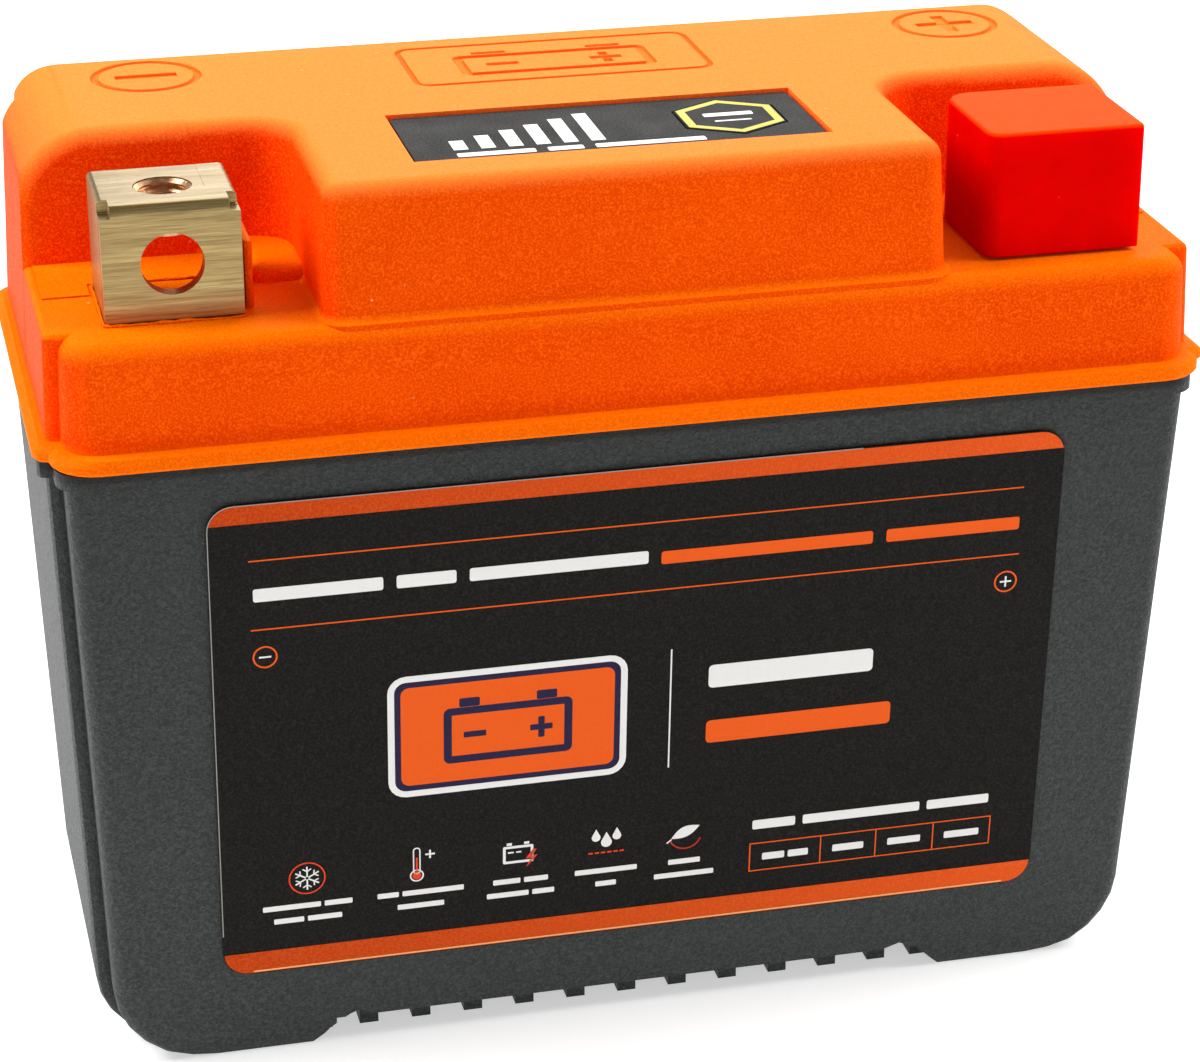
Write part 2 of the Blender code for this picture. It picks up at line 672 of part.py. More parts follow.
def make_cap(look):
    """The positive terminal's soft cover: open below and on its outer side."""
    inner_x = TERMINAL_X - TERMINAL_WIDTH / 2 - RIB_THICKNESS - 2 * GAP
    outer_x = inner_x - 0.8
    end_x = TERMINAL_X + TERMINAL_WIDTH / 2 + 0.3
    top = HEIGHT - 0.1
    bottom = FLOOR_Z + GAP
    front = TERMINAL_FRONT - GAP - 1.2
    back = TERMINAL_BACK + GAP + 1.2
    shell = cube_bmesh((outer_x, front, bottom), (end_x, back, top))

    def upright_inner(edge):
        return along(edge, 2) and edge.verts[0].co.x < outer_x + 0.1

    bevel(shell, 2.4, lambda edge: upright_inner(edge) and edge.verts[0].co.y > TERMINAL_BACK, 4)
    bevel(shell, 1.5, lambda edge: upright_inner(edge) and edge.verts[0].co.y < TERMINAL_FRONT, 4)
    bevel(shell, 0.4, lambda edge: all(vert.co.z > top - 0.01 for vert in edge.verts)
          and not all(vert.co.x > end_x - 0.01 for vert in edge.verts), 2)
    cap = from_bmesh("positive_terminal_cap", shell)
    cut(cap, box("hollow", (inner_x, front + 1.2, bottom - 1.0), (end_x + 1.0, back - 1.2, TERMINAL_TOP + GAP)))
    return finish(cap, look)


# ---------------------------------------------------------------- indicator

def make_overlay(look):
    """The printed film in the window, with an opening for the button."""
    sheet = rounded_rectangle(WINDOW_HALF - GAP, (WINDOW_BACK - WINDOW_FRONT) / 2 - GAP, 0.5, steps=2,
                              centre=(0.0, (WINDOW_BACK + WINDOW_FRONT) / 2))
    opening = hexagon(BUTTON_RADIUS + 0.2, (BUTTON_X, BUTTON_Y))
    low = WINDOW_FLOOR + 0.2
    return finish(plate("indicator_overlay", [sheet, opening], low, low + FILM), look)


def make_button(look):
    """The test button: a low hexagonal key with a stem that reaches the switch."""
    centre = (BUTTON_X, BUTTON_Y)
    low = WINDOW_FLOOR + 0.1
    levels = [(low, 0.0), (low + 0.37, 0.0), (low + 0.45, 0.08)]
    key = loft("test_button", [(z, hexagon(BUTTON_RADIUS - inset, centre)[::-1]) for z, inset in levels])
    stem_top = low + 0.2
    stem_bottom = WINDOW_FLOOR - ROOF - 0.1
    join(key, cylinder("stem", 1.2, (*centre, (stem_top + stem_bottom) / 2), stem_top - stem_bottom, sides=20))
    return finish(key, look)


def make_indicator_board(look):
    return finish(box("indicator_board", (-20.0, -18.5, BOARD_TOP - 1.2), (20.0, -1.5, BOARD_TOP), 0.15, 1), look)


def make_leds(look):
    """One light under each bar of the charge scale."""
    low = BOARD_TOP + 0.1
    for index in range(BAR_COUNT):
        x = BAR_X + index * BAR_PITCH
        corners = (x - 0.75, BAR_Y - 0.8, low), (x + 0.75, BAR_Y + 0.8, low + 1.0)
        finish(box(f"charge_led_{index + 1}", *corners, 0.15, 1), look)


def make_switch(look):
    """The tactile switch under the test button."""
    low = BOARD_TOP + 0.1
    half = 2.6
    body = box("test_switch", (BUTTON_X - half, BUTTON_Y - half, low),
               (BUTTON_X + half, BUTTON_Y + half, low + 1.3), 0.2, 1)
    foot = low + 1.0
    top = WINDOW_FLOOR - ROOF - 0.45
    join(body, cylinder("plunger", 1.3, (BUTTON_X, BUTTON_Y, (foot + top) / 2), top - foot, sides=20))
    return finish(body, look)


# ---------------------------------------------------------------- label

def make_label(look):
    """The printed label, lying on the drafted front wall."""
    outline = rounded_rectangle(LABEL_SIZE[0] / 2, LABEL_SIZE[1] / 2, LABEL_CORNER)
    label = plate("front_label", [outline], 0.0, 0.15)
    x, z = LABEL_CENTRE
    stand_off = 0.12
    wall_y = CASE_FRONT - FRONT_DRAFT * (CASE_TOP - z) + stand_off
    turn = Matrix.Rotation(math.radians(90) + math.atan(FRONT_DRAFT), 4, "X")
    label.data.transform(Matrix.Translation(Vector((x, -wall_y, z)) * MM) @ turn)
    return finish(label, look)


# ---------------------------------------------------------------- cells and wiring

def cell_y(index):
    return (index - (CELL_COUNT - 1) / 2) * CELL_PITCH


def make_cells(look):
    """Flat cells with rounded edges, each with two metal tabs out of its top."""
    for index in range(CELL_COUNT):
        y = cell_y(index)
        half_x, half_y = CELL_SIZE[0] / 2, CELL_SIZE[1] / 2
        cell = box(f"cell_{index + 1}", (-half_x, y - half_y, CELL_BOTTOM),
                   (half_x, y + half_y, CELL_TOP), 1.2, 2)
        for side in (-1, 1):
            low, high = sorted((side * (TAB_X - TAB_WIDTH / 2), side * (TAB_X + TAB_WIDTH / 2)))
            join(cell, box("tab", (low, y - 0.25, CELL_TOP - 1.0), (high, y + 0.25, TAB_TOP)))
        finish(cell, look)


def make_spacers(look):
    """Thin foam sheets between neighbouring cells."""
    for index in range(CELL_COUNT - 1):
        y = (cell_y(index) + cell_y(index + 1)) / 2
        thick = (CELL_PITCH - CELL_SIZE[1] - 2 * GAP) / 2
        spacer = box(f"cell_spacer_{index + 1}", (-40.0, y - thick, CELL_BOTTOM + 2.0),
                     (40.0, y + thick, CELL_TOP - 2.0))
        finish(spacer, look)


def make_links(look):
    """Strips that join neighbouring cells in series, right, left, then right again."""
    for index in range(CELL_COUNT - 1):
        side = 1 if index % 2 == 0 else -1
        low, high = sorted((side * (TAB_X - TAB_WIDTH / 2), side * (TAB_X + TAB_WIDTH / 2)))
        start, end = cell_y(index) - 1.0, cell_y(index + 1) + 1.0
        link = box(f"cell_link_{index + 1}", (low, start, LINK_Z), (high, end, LINK_Z + 0.6))
        finish(link, look)


def make_busbars(look):
    """Strips from the two free cell tabs up to the tabs of the terminals."""
    riser_x = TERMINAL_X - TERMINAL_WIDTH / 2 - GAP
    top = 71.0
    first, last = cell_y(0), cell_y(CELL_COUNT - 1)
    inner = TAB_X - TAB_WIDTH / 2
    negative = box("negative_busbar", (-riser_x, first - 1.5, LINK_Z), (-inner, first + 1.0, LINK_Z + 1.0))
    join(negative, box("riser", (-riser_x, TAB_FRONT, LINK_Z + FLUSH), (-riser_x + 1.0, TAB_BACK, top)))
    finish(negative, look)
    level = LINK_Z + 1.4
    positive = box("positive_busbar", (-inner - TAB_WIDTH, last - 1.0, level), (riser_x, last + 1.5, level + 1.0))
    drop = box("drop", (-inner - TAB_WIDTH + FLUSH, last - 1.0 + FLUSH, LINK_Z),
               (-inner, last + 1.4, level + 0.5))
    leg = box("leg", (riser_x - 2.5, TAB_FRONT, level + FLUSH),
              (riser_x - FLUSH, last + 1.4, level + 1.0 - FLUSH))
    riser = box("riser", (riser_x - 1.0, TAB_FRONT + FLUSH, level + 0.4), (riser_x, TAB_BACK, top))
    join(positive, drop, leg, riser)
    finish(positive, look)


def make_protection(board_look, part_look, connector_look):
    """The balancing and protection board over the cells, with its transistors and its connector."""
    board = box("protection_board", (-22.0, -15.5, PROTECTION_TOP - 1.4), (22.0, 15.5, PROTECTION_TOP), 0.15, 1)
    finish(board, board_look)
    low = PROTECTION_TOP + 0.1
    for index in range(TRANSISTOR_COUNT):
        x = -14.0 + index * 6.0
        body = box(f"transistor_{index + 1}", (x - 2.0, 4.0, low), (x + 2.0, 9.6, low + 1.6), 0.3, 1)
        finish(body, part_look)
    connector = box("balance_connector", (14.0, -9.0, low), (19.0, 3.0, low + 3.3), 0.3, 1)
    finish(connector, connector_look)


def make_leads(look):
    """Five sense leads from the series joints to the connector, and the indicator board's lead."""
    starts = [(-30.0, cell_y(0) + 3.4), (30.0, cell_y(0) + 4.2), (-30.0, cell_y(1) + 4.2),
              (30.0, cell_y(2) + 4.2), (-26.0, cell_y(3) - 3.4)]
    for index, (x, y) in enumerate(starts):
        level = PROTECTION_TOP + 1.0
        end_y = -7.6 + index * 2.3
        side = 1 if x > 0 else -1
        route = [(x, y, LINK_Z + 1.6), (x, y, LINK_Z + 3.6), (x - side * 2.5, y, level + 1.6)]
        if side < 0:
            lift = PROTECTION_TOP + 3.0 + 0.5 * (index == 2)
            route += [(-19.0, end_y + (y - end_y) * 0.8, lift), (0.0, end_y, lift), (11.0, end_y, lift - 0.6),
                      (13.5, end_y, PROTECTION_TOP + 1.9)]
        else:
            route += [(22.5, end_y, level + 1.4), (19.5, end_y, PROTECTION_TOP + 1.9)]
        finish(tube(f"balance_lead_{index + 1}", smooth_path(route, 4), 0.5), look)


def make_harness(look):
    """The wire from the protection board up to the indicator board."""
    route = [(-12.0, -12.0, PROTECTION_TOP + 0.6), (-12.0, -12.0, 70.0), (-14.0, -10.0, 74.0),
             (-12.0, -8.0, 77.0), (-12.0, -8.0, BOARD_TOP - 1.6)]
    finish(tube("indicator_cable", smooth_path(route, 4), 0.9), look)


def make_pads(look):
    """Foam under the cells and against the case's front and rear walls."""
    finish(box("base_pad", (-40.0, -15.5, CASE_FLOOR + GAP), (40.0, 15.5, CELL_BOTTOM - GAP)), look)
    pack = cell_y(CELL_COUNT - 1) + CELL_SIZE[1] / 2
    for name, side in (("front_pad", -1), ("rear_pad", 1)):
        low, high = sorted((side * (pack + GAP), side * (pack + 1.5)))
        finish(box(name, (-38.0, low, 26.0), (38.0, high, CELL_TOP - 2)), look)


def make_insulator(look):
    """The sheet that keeps the board clear of the cell tabs."""
    finish(box("insulator_sheet", (-23.0, -16.0, 64.0), (23.0, 16.0, 64.6)), look)


def main():
    clear_scene()
    collection = bpy.data.collections.new(COLLECTION)
    bpy.context.scene.collection.children.link(collection)
    brass = material("brass", (0.72, 0.60, 0.36), 0.30, 1.0)
    nickel = material("nickel", (0.70, 0.69, 0.66), 0.32, 1.0)
    circuit = material("circuit_board", (0.03, 0.22, 0.10), 0.45)
    black = material("black_plastic", (0.02, 0.02, 0.022), 0.5)
    foam = material("foam", (0.10, 0.10, 0.11), 0.9)
    make_case(material("case_plastic", (0.045, 0.052, 0.052), 0.55))
    make_lid(material("orange_plastic", (0.90, 0.20, 0.01), 0.45))
    make_gasket(material("gasket_rubber", (0.01, 0.01, 0.01), 0.8))
    make_terminal("negative_terminal", -1, brass)
    make_terminal("positive_terminal", 1, brass)
    make_cap(material("red_cover", (0.80, 0.01, 0.005), 0.4))
    film = material("printed_film", (0.02, 0.02, 0.02), 0.45)
    make_overlay(film)
    make_button(material("button_film", (0.025, 0.025, 0.025), 0.45))
    make_indicator_board(circuit)
    make_leds(material("led", (0.75, 0.85, 0.75), 0.2))
    make_switch(black)
    make_label(material("label_film", (0.02, 0.018, 0.018), 0.4))
    make_cells(material("cell_pouch", (0.62, 0.63, 0.65), 0.35, 0.8))
    make_spacers(foam)
    make_links(nickel)
    make_busbars(brass)
    make_protection(circuit, black, material("connector_plastic", (0.80, 0.78, 0.70), 0.5))
    make_leads(material("lead_red", (0.60, 0.02, 0.02), 0.5))
    make_harness(black)
    make_pads(foam)
    make_insulator(material("fish_paper", (0.72, 0.66, 0.45), 0.8))


main()
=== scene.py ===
"""Looks for a lithium motorcycle battery: refined surfaces, procedural materials, printed graphics,
studio light and the camera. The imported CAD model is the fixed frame, in metres."""

import json
import math
import random

import bmesh
import bpy
from mathutils import Matrix, Vector


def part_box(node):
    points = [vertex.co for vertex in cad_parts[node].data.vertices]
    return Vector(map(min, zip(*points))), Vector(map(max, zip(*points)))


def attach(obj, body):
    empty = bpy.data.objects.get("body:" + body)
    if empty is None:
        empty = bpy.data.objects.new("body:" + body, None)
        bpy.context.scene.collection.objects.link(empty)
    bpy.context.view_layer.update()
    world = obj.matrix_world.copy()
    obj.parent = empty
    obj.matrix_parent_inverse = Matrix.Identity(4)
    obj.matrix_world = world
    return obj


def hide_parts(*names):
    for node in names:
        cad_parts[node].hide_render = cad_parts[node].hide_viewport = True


MM = 0.001
X = Vector((1.0, 0.0, 0.0))
Y = Vector((0.0, 1.0, 0.0))
Z = Vector((0.0, 0.0, 1.0))
EVEN = (1.0, 1.0, 1.0)

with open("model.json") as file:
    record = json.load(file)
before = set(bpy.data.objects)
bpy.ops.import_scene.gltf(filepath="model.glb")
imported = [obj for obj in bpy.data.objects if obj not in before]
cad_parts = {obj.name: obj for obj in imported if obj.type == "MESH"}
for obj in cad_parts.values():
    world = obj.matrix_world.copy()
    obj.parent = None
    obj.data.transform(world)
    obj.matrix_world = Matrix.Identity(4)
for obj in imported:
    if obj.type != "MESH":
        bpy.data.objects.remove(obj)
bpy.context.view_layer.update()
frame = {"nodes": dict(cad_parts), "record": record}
nodes = frame["nodes"]


# ---------------------------------------------------------------- node helpers

def new_look(name, metallic=0.0, specular=0.5):
    """A material with a Principled shader. Constant values go straight onto its sockets."""
    made = bpy.data.materials.new(name)
    made.use_nodes = True
    shader = made.node_tree.nodes["Principled BSDF"]
    shader.inputs["Metallic"].default_value = metallic
    shader.inputs["Specular IOR Level"].default_value = specular
    return made, made.node_tree, shader


def add(tree, kind, settings=None, **inputs):
    """One node, its inputs set to numbers or linked to other nodes' outputs.

    _0 stands for the first input, and From_Min for the input called From Min."""
    made = tree.nodes.new(kind)
    for key, value in (settings or {}).items():
        setattr(made, key, value)
    for key, value in inputs.items():
        socket = made.inputs[int(key[1:])] if key[0] == "_" else made.inputs[key.replace("_", " ")]
        if isinstance(value, bpy.types.NodeSocket):
            tree.links.new(value, socket)
        else:
            socket.default_value = value
    return made


def place_coords(tree, stretch=EVEN):
    coords = add(tree, "ShaderNodeTexCoord").outputs["Object"]
    if stretch == EVEN:
        return coords
    return add(tree, "ShaderNodeMapping", Vector=coords, Scale=stretch).outputs["Vector"]


def axes(tree, vector):
    """The outputs X, Y and Z of a vector."""
    return add(tree, "ShaderNodeSeparateXYZ", Vector=vector).outputs


def facing(tree):
    """The X, Y and Z of the surface's normal."""
    return axes(tree, add(tree, "ShaderNodeNewGeometry").outputs["Normal"])


def grain(tree, coords, size, detail=2.0, rough=0.5, distortion=0.0):
    """Noise whose features are about this many millimetres across."""
    return add(tree, "ShaderNodeTexNoise", Vector=coords, Scale=1000.0 / size, Detail=detail, Roughness=rough,
               Distortion=distortion).outputs["Fac"]


def remap(tree, value, low, high, to_low=0.0, to_high=1.0):
    return add(tree, "ShaderNodeMapRange", {"clamp": True}, Value=value, From_Min=low, From_Max=high,
               To_Min=to_low, To_Max=to_high).outputs["Result"]


def zone(tree, place, span, to_low=0.0, to_high=1.0):
    """A value that changes over a span of places on the object, in millimetres."""
    return remap(tree, place, span[0] * MM, span[1] * MM, to_low, to_high)


def math_node(tree, operation, first, second=0.0):
    return add(tree, "ShaderNodeMath", {"operation": operation}, _0=first, _1=second).outputs[0]


def product(tree, first, second):
    return math_node(tree, "MULTIPLY", first, second)


def larger(tree, first, second):
    return math_node(tree, "MAXIMUM", first, second)


def blend_colours(tree, factor, first, second, kind="MIX"):
    return add(tree, "ShaderNodeMix", {"data_type": "RGBA", "blend_type": kind}, _0=factor, _6=first,
               _7=second).outputs[2]


def shaded(tree, base, shade):
    """A colour times a shade."""
    return blend_colours(tree, 1.0, base, shade, "MULTIPLY")


def colour(red, green, blue):
    return (red, green, blue, 1.0)


def dusted(tree, coords, base, dust, strength, spacing, radius, kept):
    """A colour with sparse dots of dust. Spacing and radius are in millimetres, and kept is a share."""
    cells = add(tree, "ShaderNodeTexVoronoi", Vector=coords, Scale=1000.0 / spacing)
    dot = remap(tree, cells.outputs["Distance"], radius / spacing, 0.4 * radius / spacing)
    pick = add(tree, "ShaderNodeSeparateColor", Color=cells.outputs["Color"]).outputs[0]
    dot = product(tree, dot, math_node(tree, "GREATER_THAN", pick, 1.0 - kept))
    return blend_colours(tree, product(tree, dot, strength), base, dust)


def bump(tree, height, depth, strength=1.0, under=None):
    """A bump of a depth in millimetres."""
    made = add(tree, "ShaderNodeBump", Height=height, Distance=depth * MM, Strength=strength)
    if under is not None:
        tree.links.new(under, made.inputs["Normal"])
    return made.outputs["Normal"]


def wire(tree, shader, base, rough=None, normal=None):
    for name, value in (("Base Color", base), ("Roughness", rough), ("Normal", normal)):
        if value is not None:
            tree.links.new(value, shader.inputs[name])


def soft_inside(shader, weight, radius, scale):
    """Light that scatters under the surface."""
    shader.inputs["Subsurface Weight"].default_value = weight
    shader.inputs["Subsurface Radius"].default_value = radius
    shader.inputs["Subsurface Scale"].default_value = scale


# ---------------------------------------------------------------- materials

# Places where a tone of the lid or case starts and where it is full, in millimetres. Most of these tones are
# painted light, sheen or shade.
RECESS_FRONT = (-13.0, -5.0)    # along Y: painted shade in the terminal recesses, from the front
RECESS_BACK = (24.0, 20.0)      # and from the back
RECESS_END = (51.5, 49.5)       # along X, from the lid's ends
TOP_EDGE = (84.3, 84.9)         # heights: painted light on the rounded edge of the lid's top
UPPER_LEVEL = (76.0, 82.0)      # from the shelves' painted light to the top's paler painted light and sheen
MARK_TOP = (84.9, 84.8)         # painted shade: the floors of the sunk marks are below this
MARK_FLOOR = (84.5, 84.6)       # and above this
LIP = (64.3, 63.5)              # painted light on the overhanging lip
CASE_DARKENING = (15.0, 58.0)        # the case's walls
LIP_SHADOW_SPAN = (60.9, 61.3)        # painted shadow on the case's rim, under the lip


def orange_plastic():
    """Matt orange plastic with a fine grain. It is paler as painted light and sheen on faces that look up, on
    the lip and on the top's rounded edges, and deeper red as painted shade in the recesses, on faces that
    look left and a little on the floors of the sunk marks.
    """
    made, tree, shader = new_look("orange_plastic", specular=0.010)
    coords = place_coords(tree)
    spot = axes(tree, coords)
    normals = facing(tree)

    cloud = remap(tree, grain(tree, coords, 9.0, 3.0), 0.3, 0.7)
    upright = blend_colours(tree, cloud, colour(0.87, 0.062, 0.0), colour(0.93, 0.077, 0.0))
    # Painted shade: a deeper red in the terminal recesses and on faces that look left.
    recess = product(tree, zone(tree, spot["Y"], RECESS_FRONT), zone(tree, spot["Y"], RECESS_BACK))
    reach = math_node(tree, "ABSOLUTE", spot["X"])
    recess = product(tree, recess, zone(tree, reach, RECESS_END))
    painted_shade = larger(tree, recess, remap(tree, normals["X"], -0.2, -0.8))
    upright = blend_colours(tree, product(tree, painted_shade, 0.8), upright, colour(0.95, 0.032, 0.0))

    # Painted light and sheen: the top is paler than the shelves.
    high = zone(tree, spot["Z"], UPPER_LEVEL)
    lit = blend_colours(tree, high, colour(1.0, 0.165, 0.0), colour(1.0, 0.218, 0.033))
    # Painted shade: the floors of the sunk marks are a little darker.
    sunk = product(tree, zone(tree, spot["Z"], MARK_TOP), zone(tree, spot["Z"], MARK_FLOOR))
    flat = remap(tree, normals["Z"], 0.97, 0.995)
    lit = blend_colours(tree, product(tree, flat, sunk), lit, colour(1.0, 0.175, 0.014))
    # Painted light on faces that look up, on the top's rounded edges and on the lip.
    painted_light = remap(tree, normals["Z"], 0.14, 0.95)
    painted_light = larger(tree, painted_light, zone(tree, spot["Z"], TOP_EDGE, 0.0, 0.8))
    painted_light = larger(tree, painted_light, zone(tree, spot["Z"], LIP, 0.0, 0.70))
    base = blend_colours(tree, painted_light, upright, lit)

    fine = grain(tree, coords, 0.19, 2.0, 0.5)
    base = blend_colours(tree, remap(tree, fine, 0.45, 0.75, 0.0, 0.34), base, colour(1.0, 0.27, 0.012))
    base = shaded(tree, base, remap(tree, fine, 0.34, 0.66, 0.90, 1.07))
    base = dusted(tree, coords, base, colour(1.0, 0.62, 0.30), 0.55, 2.6, 0.16, 0.22)
    normal = bump(tree, fine, 0.06, 0.9)
    normal = bump(tree, grain(tree, coords, 1.6, 1.0), 0.08, 0.4, normal)
    rough = remap(tree, grain(tree, coords, 0.5, 2.0), 0.3, 0.7, 0.40, 0.58)
    wire(tree, shader, base, rough, normal)
    soft_inside(shader, 0.12, (1.0, 0.35, 0.08), 0.0012)
    return made


def case_plastic():
    """Dark plastic with a coarse leather grain. It darkens towards the top, and has a painted shadow on its
    rim under the lip.
    """
    made, tree, shader = new_look("case_plastic", specular=0.32)
    coords = place_coords(tree)
    height = axes(tree, coords)["Z"]
    leather = grain(tree, coords, 0.32, 2.0, 0.5, 0.9)
    base = blend_colours(tree, remap(tree, leather, 0.38, 0.66), colour(0.0145, 0.0185, 0.0172),
                         colour(0.031, 0.037, 0.034))
    cloud = remap(tree, grain(tree, coords, 14.0, 2.0), 0.35, 0.65, 0.0, 0.3)
    base = blend_colours(tree, cloud, base, colour(0.026, 0.032, 0.030))
    base = dusted(tree, coords, base, colour(0.30, 0.30, 0.29), 0.30, 3.4, 0.12, 0.10)
    base = shaded(tree, base, remap(tree, leather, 0.36, 0.64, 0.80, 1.15))
    # Darker towards the top, and a painted shadow on the rim under the lip.
    height_darkening = zone(tree, height, CASE_DARKENING, 1.06, 0.86)
    lip_shadow = zone(tree, height, LIP_SHADOW_SPAN, 1.0, 0.12)
    base = shaded(tree, base, product(tree, height_darkening, lip_shadow))
    normal = bump(tree, leather, 0.16, 1.0)
    normal = bump(tree, grain(tree, coords, 0.2, 2.0), 0.03, 0.5, normal)
    wire(tree, shader, base, remap(tree, leather, 0.35, 0.7, 0.58, 0.44), normal)
    return made


def terminal_brass():
    """Pale brass with a horizontal brushed grain and patches of tarnish, and painted shade that makes its top
    face darker and yellower.
    """
    made, tree, shader = new_look("terminal_brass", metallic=0.82)
    coords = place_coords(tree)
    brushed = grain(tree, place_coords(tree, (0.035, 1.0, 1.0)), 0.16, 3.0, 0.6)
    broad = grain(tree, place_coords(tree, (0.06, 1.0, 1.0)), 0.7, 2.0)
    base = blend_colours(tree, remap(tree, brushed, 0.32, 0.70), colour(0.25, 0.170, 0.062),
                         colour(0.52, 0.385, 0.170))
    base = blend_colours(tree, remap(tree, broad, 0.42, 0.72, 0.0, 0.35), base, colour(0.30, 0.215, 0.085))
    tarnish = remap(tree, grain(tree, coords, 3.5, 3.0, 0.65), 0.58, 0.80, 0.0, 0.28)
    base = blend_colours(tree, tarnish, base, colour(0.25, 0.15, 0.055))
    # Painted shade: faces that look up are darker and yellower.
    top = remap(tree, facing(tree)["Z"], 0.5, 0.95)
    base = shaded(tree, base, blend_colours(tree, top, colour(1.0, 1.0, 1.0), colour(0.56, 0.54, 0.41)))
    wire(tree, shader, base, remap(tree, broad, 0.3, 0.7, 0.26, 0.38), bump(tree, brushed, 0.012, 0.7))
    return made


def cover_red():
    """Soft translucent red plastic, with painted shade where it faces left and painted light where it faces
    up.
    """
    made, tree, shader = new_look("cover_red", specular=0.006)
    coords = place_coords(tree)
    normals = facing(tree)
    cloud = remap(tree, grain(tree, coords, 5.0, 2.0), 0.3, 0.7)
    upright = blend_colours(tree, cloud, colour(0.72, 0.0, 0.0), colour(0.82, 0.0, 0.0))
    # Painted shade on faces that look left.
    upright = shaded(tree, upright, remap(tree, normals["X"], -0.9, -0.2, 0.70, 1.0))
    # Painted light on faces that look up.
    base = blend_colours(tree, remap(tree, normals["Z"], 0.2, 0.95), upright, colour(1.0, 0.058, 0.0))
    base = dusted(tree, coords, base, colour(1.0, 0.35, 0.25), 0.35, 1.7, 0.10, 0.16)
    normal = bump(tree, grain(tree, coords, 0.35, 2.0), 0.02, 0.5)
    wire(tree, shader, base, remap(tree, grain(tree, coords, 1.2, 2.0), 0.3, 0.7, 0.34, 0.46), normal)
    soft_inside(shader, 0.35, (1.0, 0.12, 0.05), 0.003)
    return made


def printed_film(name, base_colour, rough=0.36, fleck=0.06, specular=0.07):
    """Ink on a slightly grainy film."""
    made, tree, shader = new_look(name, specular=specular)
    coords = place_coords(tree)
    fine = grain(tree, coords, 0.22, 2.0)
    lighter = colour(*(min(1.0, value + fleck * 0.35) for value in base_colour))
    base = blend_colours(tree, remap(tree, fine, 0.40, 0.75, 0.0, 0.6), colour(*base_colour), lighter)
    spread = remap(tree, grain(tree, coords, 4.0, 2.0), 0.3, 0.7, rough - 0.04, rough + 0.06)
    wire(tree, shader, base, spread, bump(tree, fine, 0.006, 0.5))
    return made


def stripe_ink(name, left, right, edge):
    """Orange ink that shifts in hue along the label, from one edge to the other."""
    made, tree, shader = new_look(name, specular=0.04)
    coords = place_coords(tree)
    ramp = zone(tree, axes(tree, coords)["X"], (-edge, edge))
    base = blend_colours(tree, ramp, colour(*left), colour(*right))
    fine = grain(tree, coords, 0.25, 2.0)
    base = blend_colours(tree, remap(tree, fine, 0.4, 0.75, 0.0, 0.16), base, colour(1.0, 0.33, 0.08))
    wire(tree, shader, base, remap(tree, fine, 0.3, 0.7, 0.34, 0.42), bump(tree, fine, 0.005, 0.5))
    return made


def plain_grain(name, dark, light, size, rough, depth, metallic=0.0, stretch=EVEN):
    """A two-tone grained surface for the smaller and hidden pieces."""
    made, tree, shader = new_look(name, metallic=metallic)
    fine = grain(tree, place_coords(tree, stretch), size, 3.0, 0.55)
    base = blend_colours(tree, remap(tree, fine, 0.32, 0.70), colour(*dark), colour(*light))
    wire(tree, shader, base, remap(tree, fine, 0.3, 0.7, rough - 0.05, rough + 0.07),
         bump(tree, fine, depth, 0.6))
    return made


def circuit_board():
    """Green solder mask over faint copper tracks."""
    made, tree, shader = new_look("circuit_board")
    coords = place_coords(tree)
    tracks = add(tree, "ShaderNodeTexBrick", {"offset": 0.5}, Vector=coords, Scale=240.0, Mortar_Size=0.035,
                 Color1=colour(0.012, 0.13, 0.045), Color2=colour(0.010, 0.115, 0.040),
                 Mortar=colour(0.035, 0.24, 0.09))
    fine = grain(tree, coords, 0.5, 2.0)
    base = blend_colours(tree, remap(tree, fine, 0.4, 0.7, 0.0, 0.3), tracks.outputs["Color"],
                         colour(0.02, 0.17, 0.06))
    wire(tree, shader, base, remap(tree, fine, 0.3, 0.7, 0.28, 0.40),
         bump(tree, tracks.outputs["Fac"], 0.03, 0.4))
    return made


def studio_paper(name, glow):
    """Pale paper that glows a little, as a lightbox does."""
    made, tree, shader = new_look(name, specular=0.2)
    cloud = remap(tree, grain(tree, place_coords(tree), 40.0, 2.0), 0.3, 0.7)
    wire(tree, shader, blend_colours(tree, cloud, colour(0.71, 0.71, 0.705), colour(0.73, 0.73, 0.725)))
    shader.inputs["Roughness"].default_value = 0.9
    shader.inputs["Emission Color"].default_value = colour(1.0, 1.0, 1.0)
    shader.inputs["Emission Strength"].default_value = glow
    return made


BRUSHED = (0.1, 1.0, 1.0)

ORANGE = orange_plastic()
CASE = case_plastic()
BRASS = terminal_brass()
RED = cover_red()
RUBBER = plain_grain("gasket_rubber", (0.006, 0.006, 0.006), (0.014, 0.014, 0.014), 0.4, 0.75, 0.02)
LABEL = printed_film("label_film", (0.0070, 0.0066, 0.0052), 0.44, 0.06, 0.055)
OVERLAY = printed_film("overlay_film", (0.0085, 0.0080, 0.0068), 0.55, 0.16, 0.045)
BUTTON = printed_film("button_film", (0.0105, 0.0100, 0.0085), 0.55, 0.05, 0.05)
WHITE_INK = printed_film("white_ink", (0.80, 0.79, 0.77), 0.40, 0.10)
ORANGE_INK = printed_film("orange_ink", (0.82, 0.105, 0.007), 0.38, 0.04)
RED_INK = printed_film("red_ink", (0.80, 0.055, 0.012), 0.38, 0.06)
NAVY_INK = printed_film("navy_ink", (0.018, 0.014, 0.050), 0.36, 0.04)
YELLOW_INK = printed_film("yellow_ink", (0.56, 0.47, 0.055), 0.38, 0.06)
STRIPE_INK = stripe_ink("stripe_ink", (0.50, 0.043, 0.002), (0.76, 0.088, 0.010), 39.0)
PALE_INK = printed_film("pale_ink", (0.90, 0.42, 0.16), 0.4)
